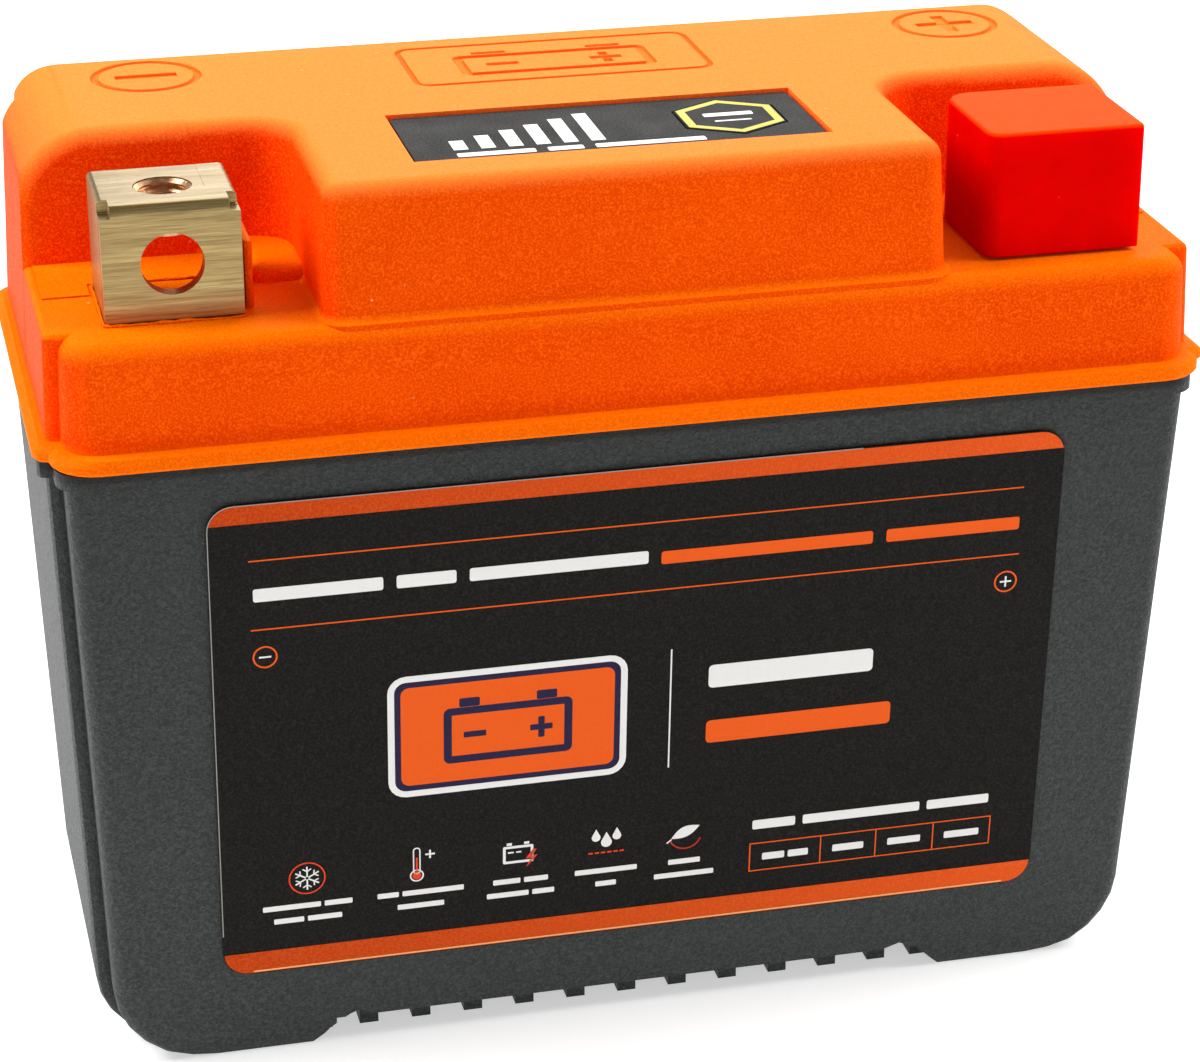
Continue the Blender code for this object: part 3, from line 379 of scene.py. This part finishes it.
TRIM_INK = printed_film("trim_ink", (0.30, 0.28, 0.26), 0.4)
COPPER = plain_grain("thread_copper", (0.42, 0.20, 0.09), (0.78, 0.48, 0.27), 0.5, 0.30, 0.02, 1.0)
BOARD = circuit_board()
BLACK = plain_grain("black_plastic", (0.012, 0.012, 0.013), (0.026, 0.026, 0.027), 0.4, 0.45, 0.01)
LENS = plain_grain("led_lens", (0.62, 0.72, 0.62), (0.80, 0.88, 0.80), 0.8, 0.20, 0.005)
POUCH = plain_grain("cell_pouch", (0.50, 0.51, 0.53), (0.74, 0.75, 0.77), 2.5, 0.34, 0.08, 0.9)
FOAM = plain_grain("foam", (0.05, 0.05, 0.055), (0.13, 0.13, 0.14), 0.6, 0.90, 0.15)
NICKEL = plain_grain("nickel_strip", (0.55, 0.54, 0.51), (0.78, 0.77, 0.74), 0.25, 0.30, 0.01, 1.0, BRUSHED)
BUSBAR = plain_grain("busbar_brass", (0.58, 0.46, 0.24), (0.84, 0.72, 0.46), 0.25, 0.30, 0.01, 1.0, BRUSHED)
CREAM = plain_grain("connector_plastic", (0.66, 0.63, 0.54), (0.80, 0.78, 0.69), 0.8, 0.48, 0.01)
LEAD = plain_grain("lead_sheath", (0.42, 0.012, 0.010), (0.62, 0.025, 0.018), 0.6, 0.48, 0.01)
CABLE = plain_grain("cable_sheath", (0.010, 0.010, 0.010), (0.024, 0.024, 0.024), 0.6, 0.50, 0.01)
PAPER = plain_grain("insulating_sheet", (0.55, 0.48, 0.29), (0.72, 0.65, 0.44), 0.5, 0.75, 0.02)

SLOT_LOOKS = {
    "case_plastic": CASE, "lid_plastic": ORANGE, "gasket_rubber": RUBBER, "terminal_brass": BRASS,
    "cover_red": RED, "overlay_film": OVERLAY, "button_film": BUTTON, "circuit_board": BOARD,
    "black_plastic": BLACK, "led_lens": LENS, "label_film": LABEL, "cell_pouch": POUCH, "foam": FOAM,
    "nickel_strip": NICKEL, "busbar_brass": BUSBAR, "connector_plastic": CREAM, "lead_sheath": LEAD,
    "cable_sheath": CABLE, "insulating_sheet": PAPER,
}


# ---------------------------------------------------------------- outlines and strips of faces

def looped(items):
    """Each item with the next one, and the last with the first."""
    return list(zip(items, items[1:] + items[:1]))


def quads(shape, first, second):
    """The strip of faces between two closed rings of points."""
    for (a, b), (c, d) in zip(looped(first), looped(second)):
        shape.faces.new((a, b, d, c))


def arc(u, v, radius, start, end, steps):
    angles = [math.radians(start + (end - start) * i / steps) for i in range(steps + 1)]
    return [(u + radius * math.cos(angle), v + radius * math.sin(angle)) for angle in angles]


def disc(u, v, radius, steps):
    return arc(u, v, radius, 0, 360, steps)[:-1]


def rounded(u, v, half_u, half_v, radius, steps):
    """A rectangle with round corners."""
    corners = []
    for quarter, (su, sv) in enumerate(((1, 1), (-1, 1), (-1, -1), (1, -1))):
        corners += arc(u + su * (half_u - radius), v + sv * (half_v - radius), radius,
                       90 * quarter, 90 * quarter + 90, steps)
    return corners


def hexagon(u, v, radius):
    return [(u + radius * math.sin(math.radians(60 * i)), v + radius * math.cos(math.radians(60 * i)))
            for i in range(6)][::-1]


def turned(points, centre, degrees):
    cos, sin = math.cos(math.radians(degrees)), math.sin(math.radians(degrees))
    return [(centre[0] + (u - centre[0]) * cos - (v - centre[1]) * sin,
             centre[1] + (u - centre[0]) * sin + (v - centre[1]) * cos) for u, v in points]


# ---------------------------------------------------------------- carried-over and refined pieces

SEAM_WELD = 0.002           # millimetres within which CAD vertices become one
FLAT_ANGLE = 0.6            # degrees below which faces are merged
BEVEL_ANGLE = 34.0          # degrees above which an edge is rounded


def dress_nodes():
    """Every CAD node takes the material of its slot."""
    for row in frame["record"]["subparts"]:
        mesh = nodes[row["node"]].data
        mesh.materials.clear()
        mesh.materials.append(SLOT_LOOKS[row["material_slot"]])
        for face in mesh.polygons:
            face.material_index = 0


def body_of(node):
    for body, members in frame["record"]["behaviour"]["bodies"].items():
        if node in members:
            return body
    return "battery"


def register(piece, body):
    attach(piece, body)
    return piece


def new_piece(name, shape, look, smooth=False):
    mesh = bpy.data.meshes.new(name)
    shape.to_mesh(mesh)
    shape.free()
    piece = bpy.data.objects.new(name, mesh)
    bpy.context.scene.collection.objects.link(piece)
    mesh.materials.append(look)
    if smooth:
        mesh.shade_smooth()
    return piece


def clean_mesh(node):
    """The CAD node's surface as a bmesh with shared vertices and its flat areas merged."""
    shape = bmesh.new()
    shape.from_mesh(nodes[node].data)
    bmesh.ops.remove_doubles(shape, verts=shape.verts, dist=SEAM_WELD * MM)
    bmesh.ops.dissolve_limit(shape, angle_limit=math.radians(FLAT_ANGLE), verts=shape.verts,
                             edges=shape.edges)
    bmesh.ops.recalc_face_normals(shape, faces=shape.faces)
    return shape


def cut_away(piece, cutter):
    """The piece less the cutter, which goes away."""
    modifier = piece.modifiers.new("cut", "BOOLEAN")
    modifier.operation = "DIFFERENCE"
    modifier.solver = "EXACT"
    modifier.object = cutter
    bpy.context.view_layer.update()
    graph = bpy.context.evaluated_depsgraph_get()
    mesh = bpy.data.meshes.new_from_object(piece.evaluated_get(graph))
    piece.modifiers.clear()
    piece.data = mesh
    bpy.data.objects.remove(cutter, do_unlink=True)
    piece.data.shade_smooth()


def refined(node, slot, edge, cutter=None):
    """A finer copy of a CAD node: merged faces, edges rounded by so many millimetres, smooth shading."""
    piece = new_piece(node + "_finish", clean_mesh(node), SLOT_LOOKS[slot], smooth=True)
    if cutter:
        cut_away(piece, cutter)
    rounding = piece.modifiers.new("soft_edges", "BEVEL")
    rounding.width = edge * MM
    rounding.segments = 2
    rounding.limit_method = "ANGLE"
    rounding.angle_limit = math.radians(BEVEL_ANGLE)
    rounding.harden_normals = False
    weights = piece.modifiers.new("weighted", "WEIGHTED_NORMAL")
    weights.keep_sharp = False
    weights.weight = 80
    register(piece, body_of(node))
    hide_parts(node)


# ---------------------------------------------------------------- flat graphics

# Lowest and highest level of each kind of print over its surface, in millimetres.
INK = (0.01, 0.03)
STRIPE = (0.01, 0.035)
STRIPE_EDGE = (0.04, 0.05)
TRIM = (0.036, 0.046)
PLATE_BORDER = (0.01, 0.04)
PLATE_FILL = (0.035, 0.05)
PLATE_SYMBOL = (0.055, 0.065)
BUTTON_INK = (0.005, 0.02)


class Sheet:
    """A flat print area: its own axes U and V, in millimetres, and a height over the surface."""

    def __init__(self, centre, across, up):
        self.centre = Vector(centre)
        self.across = Vector(across).normalized()
        self.up = Vector(up).normalized()
        self.out = self.across.cross(self.up)

    def point(self, u, v, height):
        return self.centre + (self.across * u + self.up * v + self.out * height) * MM


class Print:
    """Closed thin shapes of one ink, gathered into one piece."""

    def __init__(self, sheet, low, high):
        self.sheet = sheet
        self.low = low
        self.high = high
        self.shape = bmesh.new()

    def ring(self, outline, height):
        return [self.shape.verts.new(self.sheet.point(u, v, height)) for u, v in outline]

    def solid(self, outline):
        low = self.ring(outline, self.low)
        high = self.ring(outline, self.high)
        self.shape.faces.new(high)
        self.shape.faces.new(low[::-1])
        quads(self.shape, low, high)

    def band(self, outer, inner):
        rings = [self.ring(outline, height) for outline, height in
                 ((outer, self.low), (outer, self.high), (inner, self.high), (inner, self.low))]
        for first, second in looped(rings):
            quads(self.shape, first, second)

    def bar(self, u, v, width, height, radius=None):
        if radius is None:
            radius = min(width, height) / 2 * 0.35
        self.solid(rounded(u, v, width / 2, height / 2, radius, 3))

    def line(self, start, end, width):
        a, b = Vector(start), Vector(end)
        side = (b - a).orthogonal().normalized() * width / 2
        self.solid([tuple(a - side), tuple(b - side), tuple(b + side), tuple(a + side)])

    def circle(self, u, v, radius, width):
        self.band(disc(u, v, radius, 40), disc(u, v, radius - width, 40))

    def frame(self, u, v, half_u, half_v, radius, width):
        self.band(rounded(u, v, half_u, half_v, radius, 5),
                  rounded(u, v, half_u - width, half_v - width, max(radius - width, 0.05), 5))

    def words(self, u, v, widths, gap, height):
        """A row of plain bars in place of a line of text, starting at U."""
        for width in widths:
            self.bar(u + width / 2, v, width, height)
            u += width + gap

    def centred_words(self, u, v, widths, gap, height):
        total = sum(widths) + gap * (len(widths) - 1)
        self.words(u - total / 2, v, widths, gap, height)

    def piece(self, name, look, body="battery", slot="label_film"):
        bmesh.ops.recalc_face_normals(self.shape, faces=self.shape.faces)
        return register(new_piece(name, self.shape, look), body)


# ---------------------------------------------------------------- label art, in millimetres from its middle

LABEL_HALF_U, LABEL_HALF_V, LABEL_RADIUS = 39.4, 24.45, 2.4
STRIPE_INSET = 0.12
STRIPE_BOUNDS = ((1, 22.55), (-1, 22.1))        # side, and distance of the band's inner edge
TRIM_INSET, TRIM_WIDTH = 0.03, 0.1
TRIM_END_U, TRIM_END_V = 20.0, -20.0

RULE_ENDS = (-35.8, 35.7)
RULES_V = (18.85, 11.95)
POLES = ((-34.6, False), (34.6, True))          # place, and whether it is the plus
POLES_V = 9.15

PLATE_U, PLATE_V, PLATE_HALF_U, PLATE_HALF_V = -12.55, -0.7, 11.15, 6.35

TABLE_LINES_V = (-19.6, -16.55)
TABLE_LINES_U = (10.95, 17.95, 23.45, 29.2, 34.95)
TABLE_LINE = 0.12
TABLE_ROW_V = -18.1
TABLE_CELLS = ((14.45, (2.2, 2.0)), (20.7, (3.1,)), (26.3, (3.3,)), (32.1, (3.5,)))

ICON_V = -14.6
CAPTIONS_V = (-17.55, -19.0)
SMALL_GAP = 0.35


def label_sheet():
    """The label's printed face: its largest flat face that looks forward."""
    best = max((f for f in nodes["front_label"].data.polygons if f.normal.y < -0.8), key=lambda f: f.area)
    normal = Vector(best.normal)
    low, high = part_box("front_label")
    middle = (low + high) / 2
    spot = Vector(best.center)
    middle.y = spot.y - ((middle.x - spot.x) * normal.x + (middle.z - spot.z) * normal.z) / normal.y
    return Sheet(middle, X, normal.cross(X))


def stripes(sheet):
    """The coloured bands along the label's top and bottom edges, and the label's pale cut edge."""
    ink = Print(sheet, *STRIPE)
    radius = LABEL_RADIUS - STRIPE_INSET
    centre_u, centre_v = LABEL_HALF_U - STRIPE_INSET - radius, LABEL_HALF_V - STRIPE_INSET - radius
    for side, edge_v in STRIPE_BOUNDS:
        start = math.degrees(math.asin((edge_v - centre_v) / radius))
        outline = arc(centre_u, centre_v, radius, start, 90, 8)
        outline += arc(-centre_u, centre_v, radius, 90, 180 - start, 8)
        ink.solid([(u, v * side) for u, v in outline])
    ink.piece("label_stripes", STRIPE_INK)
    pale = Print(sheet, *STRIPE_EDGE)
    pale.line((-36.6, -24.18), (36.6, -24.18), 0.16)
    pale.piece("label_stripe_edge", PALE_INK)

    trim = Print(sheet, *TRIM)
    edge_u, edge_v, corner = LABEL_HALF_U - TRIM_INSET, LABEL_HALF_V - TRIM_INSET, LABEL_RADIUS - TRIM_INSET
    bend = (-edge_u + corner, edge_v - corner)
    outside = [(-edge_u, TRIM_END_V)] + arc(*bend, corner, 180, 90, 8) + [(TRIM_END_U, edge_v)]
    inside = [(-edge_u + TRIM_WIDTH, TRIM_END_V)] + arc(*bend, corner - TRIM_WIDTH, 180, 90, 8)
    inside.append((TRIM_END_U, edge_v - TRIM_WIDTH))
    trim.solid(outside + inside[::-1])
    trim.piece("label_trim", TRIM_INK)


def headline(sheet):
    """Two thin rules with a line of bars between them, and the polarity signs."""
    orange = Print(sheet, *INK)
    for v in RULES_V:
        orange.line((RULE_ENDS[0], v), (RULE_ENDS[1], v), 0.13)
    orange.words(1.5, 15.2, (19.9, 12.8), 1.3, 1.3)
    white = Print(sheet, *INK)
    white.words(-35.5, 15.4, (11.6, 5.4, 16.4), 1.2, 1.3)
    for u, plus in POLES:
        orange.circle(u, POLES_V, 1.12, 0.16)
        white.line((u - 0.55, POLES_V), (u + 0.55, POLES_V), 0.17)
        if plus:
            white.line((u, 8.6), (u, 9.065), 0.17)
            white.line((u, 9.235), (u, 9.7), 0.17)
    orange.piece("label_headline_orange", ORANGE_INK)
    white.piece("label_headline_white", WHITE_INK)


def plate(sheet):
    """The framed plate with a plain battery pictogram in it."""
    u, v = PLATE_U, PLATE_V
    white = Print(sheet, *PLATE_BORDER)
    white.frame(u, v, PLATE_HALF_U, PLATE_HALF_V, 1.7, 0.62)
    navy = Print(sheet, *INK)
    navy.solid(rounded(u, v, PLATE_HALF_U - 0.64, PLATE_HALF_V - 0.64, 1.15, 5))
    fill = Print(sheet, *PLATE_FILL)
    fill.solid(rounded(u, v, PLATE_HALF_U - 1.2, PLATE_HALF_V - 1.2, 0.8, 5))
    symbol = Print(sheet, *PLATE_SYMBOL)
    symbol.frame(u, v - 0.35, 6.0, 2.9, 0.6, 0.75)
    for side in (-1, 1):
        symbol.bar(u + side * 3.6, v + 3.05, 1.9, 0.9, 0.15)
    for side in (-1, 1):
        symbol.bar(u + side * 3.1, v - 0.35, 2.1, 0.6, 0.1)
    symbol.bar(u + 3.1, v + 0.35, 0.6, 0.78, 0.1)
    symbol.bar(u + 3.1, v - 1.05, 0.6, 0.78, 0.1)
    white.piece("plate_border", WHITE_INK)
    navy.piece("plate_line", NAVY_INK)
    fill.piece("plate_fill", ORANGE_INK)
    symbol.piece("plate_symbol", NAVY_INK)


def title_block(sheet):
    """The dividing line, the two large bars beside it and the small table under them."""
    white = Print(sheet, *INK)
    white.line((2.7, 5.6), (2.7, -7.0), 0.14)
    white.words(6.3, 2.3, (15.8,), 1.0, 2.4)
    white.words(11.1, -14.45, (4.2, 11.6, 6.2), 0.75, 1.0)
    orange = Print(sheet, *INK)
    orange.words(6.2, -3.6, (17.9,), 1.0, 2.4)
    (low, high), half = TABLE_LINES_V, TABLE_LINE / 2
    for v in TABLE_LINES_V:
        orange.line((TABLE_LINES_U[0] - half, v), (TABLE_LINES_U[-1] + half, v), TABLE_LINE)
    for u in TABLE_LINES_U:
        orange.line((u, low + 0.07), (u, high - 0.07), TABLE_LINE)
    for middle, widths in TABLE_CELLS:
        white.centred_words(middle, TABLE_ROW_V, widths, SMALL_GAP, 0.75)
    white.piece("label_title_white", WHITE_INK)
    orange.piece("label_title_orange", ORANGE_INK)


def snowflake(white, red, u, v):
    red.circle(u, v, 1.72, 0.13)
    for arm in range(6):
        angle = math.radians(60 * arm + 30)
        way = Vector((math.cos(angle), math.sin(angle)))
        base = Vector((u, v))
        white.line(base + way * 0.14, base + way * 1.25, 0.15)
        for side in (-1, 1):
            branch = Matrix.Rotation(side * math.radians(55), 2) @ way
            start = base + way * 0.72 + branch * 0.1
            white.line(start, start + branch * 0.38, 0.12)


def thermometer(white, red, u, v):
    tube, bulb = u - 0.35, v - 1.1
    white.band(rounded(tube, v + 0.5, 0.36, 1.45, 0.34, 5), rounded(tube, v + 0.5, 0.24, 1.33, 0.22, 5))
    white.circle(tube, bulb, 0.66, 0.13)
    red.solid(disc(tube, bulb, 0.42, 20))
    red.bar(tube, v + 0.1, 0.18, 1.5, 0.05)
    white.line((u + 0.45, v + 1.1), (u + 1.35, v + 1.1), 0.18)
    white.line((u + 0.9, v + 1.2), (u + 0.9, v + 1.55), 0.18)
    white.line((u + 0.9, v + 1.0), (u + 0.9, v + 0.65), 0.18)


def charged_battery(white, red, u, v):
    white.frame(u - 0.25, v - 0.05, 1.45, 0.95, 0.15, 0.26)
    white.bar(u - 1.1, v + 1.12, 0.5, 0.28, 0.05)
    white.bar(u + 0.55, v + 1.12, 0.5, 0.28, 0.05)
    white.bar(u - 0.95, v + 0.2, 0.55, 0.16, 0.03)
    white.bar(u - 0.2, v + 0.2, 0.5, 0.16, 0.03)
    red.solid([(u + 1.15, v + 0.35), (u + 0.45, v - 0.62), (u + 0.95, v - 0.55), (u + 0.55, v - 1.55),
               (u + 1.6, v - 0.3), (u + 1.12, v - 0.36), (u + 1.5, v + 0.35)])


def droplets(white, red, u, v):
    for du, dv, size in ((-1.0, 0.75, 0.42), (0.0, 0.15, 0.52), (1.0, 0.75, 0.42)):
        white.solid(arc(u + du, v + dv, size, 150, 390, 14) + [(u + du, v + dv + size * 2.2)])
    for step in range(6):
        red.bar(u - 1.5 + 0.6 * step, v - 0.95, 0.42, 0.16, 0.03)


def feather(white, red, u, v):
    """A feather with its quill, over a short curved line."""
    centre = (u + 0.05, v + 0.25)
    half, over, under, steps = 1.5, 0.62, 0.50, 10
    blade = [(centre[0] - half + 2 * half * t / steps, centre[1] + over * math.sin(math.pi * t / steps))
             for t in range(steps + 1)]
    blade += [(centre[0] + half - 2 * half * t / steps, centre[1] - under * math.sin(math.pi * t / steps))
              for t in range(1, steps)]
    white.solid(turned(blade, centre, 24))
    white.line((u - 1.75, v - 0.80), (u - 1.28, v - 0.42), 0.14)
    outer, inner = ([*arc(centre[0], v, first, 200, 340, 16), *arc(centre[0], v, second, 340, 200, 16)]
                    for first, second in ((1.62, 1.60), (1.50, 1.52)))
    red.band(outer, inner)


ICONS = (                                       # place, drawing, bars of the two lines under it
    (-31.4, snowflake, (5.4, 2.6), (2.8, 3.2)),
    (-20.8, thermometer, (2.0, 5.8), (4.4,)),
    (-11.3, charged_battery, (2.6, 2.3), (4.0, 2.1)),
    (-3.1, droplets, (6.0,), (2.0,)),
    (4.5, feather, (3.1,), (5.8,)),
)


def pictograms(sheet):
    white = Print(sheet, *INK)
    red = Print(sheet, *INK)
    for u, draw, *captions in ICONS:
        draw(white, red, u, ICON_V)
        for v, widths in zip(CAPTIONS_V, captions):
            white.centred_words(u, v, widths, SMALL_GAP, 0.55)
    white.piece("label_icons_white", WHITE_INK)
    red.piece("label_icons_orange", RED_INK)


# ---------------------------------------------------------------- lid details, in millimetres

SCALE_BARS = (2.7, 3.8, 4.9, 6.0, 7.2, 8.3)     # heights of the rising bars
SCALE_LEFT, SCALE_FOOT, SCALE_STEP, SCALE_WIDTH = -14.7, -12.8, 2.48, 1.3

PANEL_Y = 13.0
PANEL_DEPTH = 0.25

RECESS_FLOOR = 73.1         # height of the lid's shelves, where the terminals stand
HOLE_Y = -13.45             # the axis of a terminal's top hole
FLASH_RISE, FLASH_RADIUS, FLASH_STEP, FLASH_SEED = 0.06, 0.17, 0.55, 7
BEAD_SIDES, BEAD_UNEVEN, BEAD_WAVER = 7, 0.35, 0.3
THREAD_PITCH, THREAD_TURNS, THREAD_SIDES = 0.8, 4, 48


def overlay_art():
    """Rising bars and a row of bars for the caption on the indicator film."""
    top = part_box("indicator_overlay")[1].z
    white = Print(Sheet((0.0, 0.0, top), X, Y), *INK)
    for index, rise in enumerate(SCALE_BARS):
        left, foot = SCALE_LEFT + SCALE_STEP * index, SCALE_FOOT
        white.solid([(left, foot), (left + SCALE_WIDTH, foot), (left + SCALE_WIDTH, foot + rise),
                     (left, foot + rise)])
    white.words(SCALE_LEFT, -14.35, (7.0, 3.2, 10.0), 1.1, 1.1)
    white.piece("indicator_scale", WHITE_INK, slot="overlay_film")


def button_art():
    """The yellow outline of the key and the bars on it."""
    low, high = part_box("test_button")
    sheet = Sheet(((low.x + high.x) / 2, (low.y + high.y) / 2, high.z), X, Y)
    yellow = Print(sheet, *BUTTON_INK)
    yellow.band(hexagon(0.0, 0.0, 5.08), hexagon(0.0, 0.0, 4.22))
    yellow.piece("button_outline", YELLOW_INK, body="test_key", slot="button_film")
    white = Print(sheet, *BUTTON_INK)
    white.bar(0.0, 0.65, 4.6, 1.0)
    white.bar(0.0, -1.3, 3.4, 0.32, 0.05)
    white.piece("button_mark", WHITE_INK, body="test_key", slot="button_film")


def panel_cutter():
    """The shape of a plain battery pictogram, to be sunk into the lid's framed panel."""
    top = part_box("lid")[1].z / MM
    mark = Print(Sheet((0.0, PANEL_Y * MM, 0.0), X, Y), top - PANEL_DEPTH, top + 0.5)
    mark.frame(0.0, -0.6, 9.4, 3.4, 0.9, 1.0)
    for side in (-1, 1):
        mark.bar(side * 5.6, 3.4, 3.4, 0.8, 0.15)
        mark.bar(side * 5.0, -0.6, 3.2, 0.95, 0.2)
    mark.bar(5.0, 0.55, 0.95, 1.2, 0.1)
    mark.bar(5.0, -1.75, 0.95, 1.2, 0.1)
    bmesh.ops.recalc_face_normals(mark.shape, faces=mark.shape.faces)
    return new_piece("panel_cutter", mark.shape, ORANGE)


def rectangle_route(low, high, z, step):
    """Points about a step apart round a rectangle with slightly rounded corners."""
    outline = rounded((low[0] + high[0]) / 2, (low[1] + high[1]) / 2, (high[0] - low[0]) / 2,
                      (high[1] - low[1]) / 2, 0.5, 3)
    route = []
    for (u0, v0), (u1, v1) in looped(outline):
        count = max(1, round(math.hypot(u1 - u0, v1 - v0) / step))
        route += [(u0 + (u1 - u0) * i / count, v0 + (v1 - v0) * i / count, z) for i in range(count)]
    return route


def flash(name, route):
    """A thin uneven bead of moulding flash along a closed route."""
    rng = random.Random(FLASH_SEED)
    shape = bmesh.new()
    rings = []
    for index, point in enumerate(route):
        way = Vector(route[(index + 1) % len(route)]) - Vector(route[index - 1])
        side = way.normalized().cross(Z).normalized()
        size = FLASH_RADIUS * (1.0 + BEAD_UNEVEN * rng.uniform(-1.0, 1.0))
        centre = Vector(point) + Z * FLASH_RADIUS * BEAD_WAVER * rng.uniform(-1.0, 1.0)
        rings.append([shape.verts.new((centre + (side * math.cos(2 * math.pi * k / BEAD_SIDES)
                                                 + Z * math.sin(2 * math.pi * k / BEAD_SIDES)) * size) * MM)
                      for k in range(BEAD_SIDES)])
    for first, second in looped(rings):
        quads(shape, first, second)
    bmesh.ops.recalc_face_normals(shape, faces=shape.faces)
    register(new_piece(name, shape, ORANGE, smooth=True), "battery")


def thread(name, x, y, top):
    """A sleeve with the grooves of a thread, round a top hole."""
    profile = [(2.50, top - 0.15)]
    for turn in range(THREAD_TURNS):
        level = top - 0.35 - turn * THREAD_PITCH
        profile += [(2.12, level - 0.1), (2.12, level - 0.25), (2.46, level - 0.6)]
    foot = top - 0.35 - THREAD_TURNS * THREAD_PITCH
    profile += [(2.3, foot), (3.3, foot), (3.3, top - 1.52), (2.52, top - 1.52)]
    shape = bmesh.new()
    rings = [[shape.verts.new(((x + r * math.cos(2 * math.pi * k / THREAD_SIDES)) * MM,
                               (y + r * math.sin(2 * math.pi * k / THREAD_SIDES)) * MM, z * MM))
              for k in range(THREAD_SIDES)] for r, z in profile]
    for first, second in looped(rings):
        quads(shape, first, second)
    bmesh.ops.recalc_face_normals(shape, faces=shape.faces)
    sleeve = new_piece(name, shape, COPPER, smooth=True)
    sleeve.data.set_sharp_from_angle(angle=math.radians(35))
    register(sleeve, "battery")


def terminal_details(node):
    """Moulding flash round a terminal's foot, and the threads under its top hole."""
    low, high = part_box(node)
    route = rectangle_route((low.x / MM - 0.12, low.y / MM - 0.12), (high.x / MM + 0.12, high.y / MM + 0.3),
                            RECESS_FLOOR + FLASH_RISE, FLASH_STEP)
    flash(node + "_flash", route)
    thread(node + "_thread", (low.x + high.x) / 2 / MM, HOLE_Y, high.z / MM)


# ---------------------------------------------------------------- stage, light and camera, in metres

FLOOR_REACH = 3.0
BACKDROP_HEIGHT, BACKDROP_SIDES = 1.1, 64
FLOOR_GLOW, BACKDROP_GLOW = 0.52, 0.45

WORLD_LIGHT = 0.12
LIGHTS_AIM = (0.0, 0.0, 0.045)
LIGHTS = (                                      # name, place, size, power in watts
    ("left_key", (-0.34, 0.06, 0.38), 0.24, 2.5),
    ("right_key", (0.37, -0.06, 0.36), 0.24, 1.9),
    ("top_front", (0.10, -0.36, 0.52), 0.60, 0.16),
    ("left", (-0.60, -0.05, 0.22), 0.5, 0.10),
    ("back_top", (0.15, 0.40, 0.40), 0.4, 2.3),
)

CAMERA_AT = (-0.070, -0.2992, 0.1748)
CAMERA_WAY = (0.2130, 0.8923, -0.3979)
CAMERA_UP = (0.0939, 0.3867, 0.9174)
IMAGE_WIDTH = 1200.0        # pixels
FOCAL = 3466.0              # pixels
SENSOR = 36.0               # millimetres


def stage():
    """A pale floor inside a low round backdrop."""
    shape = bmesh.new()
    bmesh.ops.create_grid(shape, x_segments=2, y_segments=2, size=FLOOR_REACH)
    new_piece("floor", shape, studio_paper("floor_paper", FLOOR_GLOW))
    shape = bmesh.new()
    low, high = ([shape.verts.new((x, y, z)) for x, y in disc(0.0, 0.0, FLOOR_REACH, BACKDROP_SIDES)]
                 for z in (-0.01, BACKDROP_HEIGHT))
    quads(shape, high, low)
    new_piece("backdrop", shape, studio_paper("backdrop_paper", BACKDROP_GLOW), smooth=True)


def lighting():
    """Square soft lights that aim at the battery, and a faint even light from all round."""
    world = bpy.data.worlds.new("studio")
    bpy.context.scene.world = world
    world.use_nodes = True
    background = world.node_tree.nodes["Background"]
    background.inputs["Color"].default_value = colour(1.0, 1.0, 1.0)
    background.inputs["Strength"].default_value = WORLD_LIGHT
    for name, place, size, power in LIGHTS:
        data = bpy.data.lights.new(name, "AREA")
        data.energy = power
        data.size = size
        lamp = bpy.data.objects.new(name, data)
        lamp.location = place
        lamp.rotation_euler = (Vector(LIGHTS_AIM) - Vector(place)).to_track_quat("-Z", "Y").to_euler()
        bpy.context.scene.collection.objects.link(lamp)


def camera():
    data = bpy.data.cameras.new("camera")
    data.sensor_width = SENSOR
    data.lens = FOCAL / IMAGE_WIDTH * SENSOR
    made = bpy.data.objects.new("camera", data)
    back = -Vector(CAMERA_WAY).normalized()
    right = Vector(CAMERA_UP).cross(back).normalized()
    turn = Matrix((right, back.cross(right), back)).transposed()
    made.matrix_world = Matrix.Translation(CAMERA_AT) @ turn.to_4x4()
    bpy.context.scene.collection.objects.link(made)
    bpy.context.scene.camera = made
    bpy.context.scene.view_settings.view_transform = "Standard"     # keeps the orange and red saturated


# ---------------------------------------------------------------- assembly

dress_nodes()
refined("battery_case", "case_plastic", 0.16)
refined("lid", "lid_plastic", 0.14, panel_cutter())
refined("positive_terminal_cap", "cover_red", 0.14)
refined("negative_terminal", "terminal_brass", 0.10)
refined("positive_terminal", "terminal_brass", 0.10)
refined("test_button", "button_film", 0.05)
refined("front_label", "label_film", 0.03)
refined("indicator_overlay", "overlay_film", 0.03)
refined("lid_gasket", "gasket_rubber", 0.06)

label = label_sheet()
stripes(label)
headline(label)
plate(label)
title_block(label)
pictograms(label)
overlay_art()
button_art()
for terminal in ("negative_terminal", "positive_terminal"):
    terminal_details(terminal)

stage()
lighting()
camera()
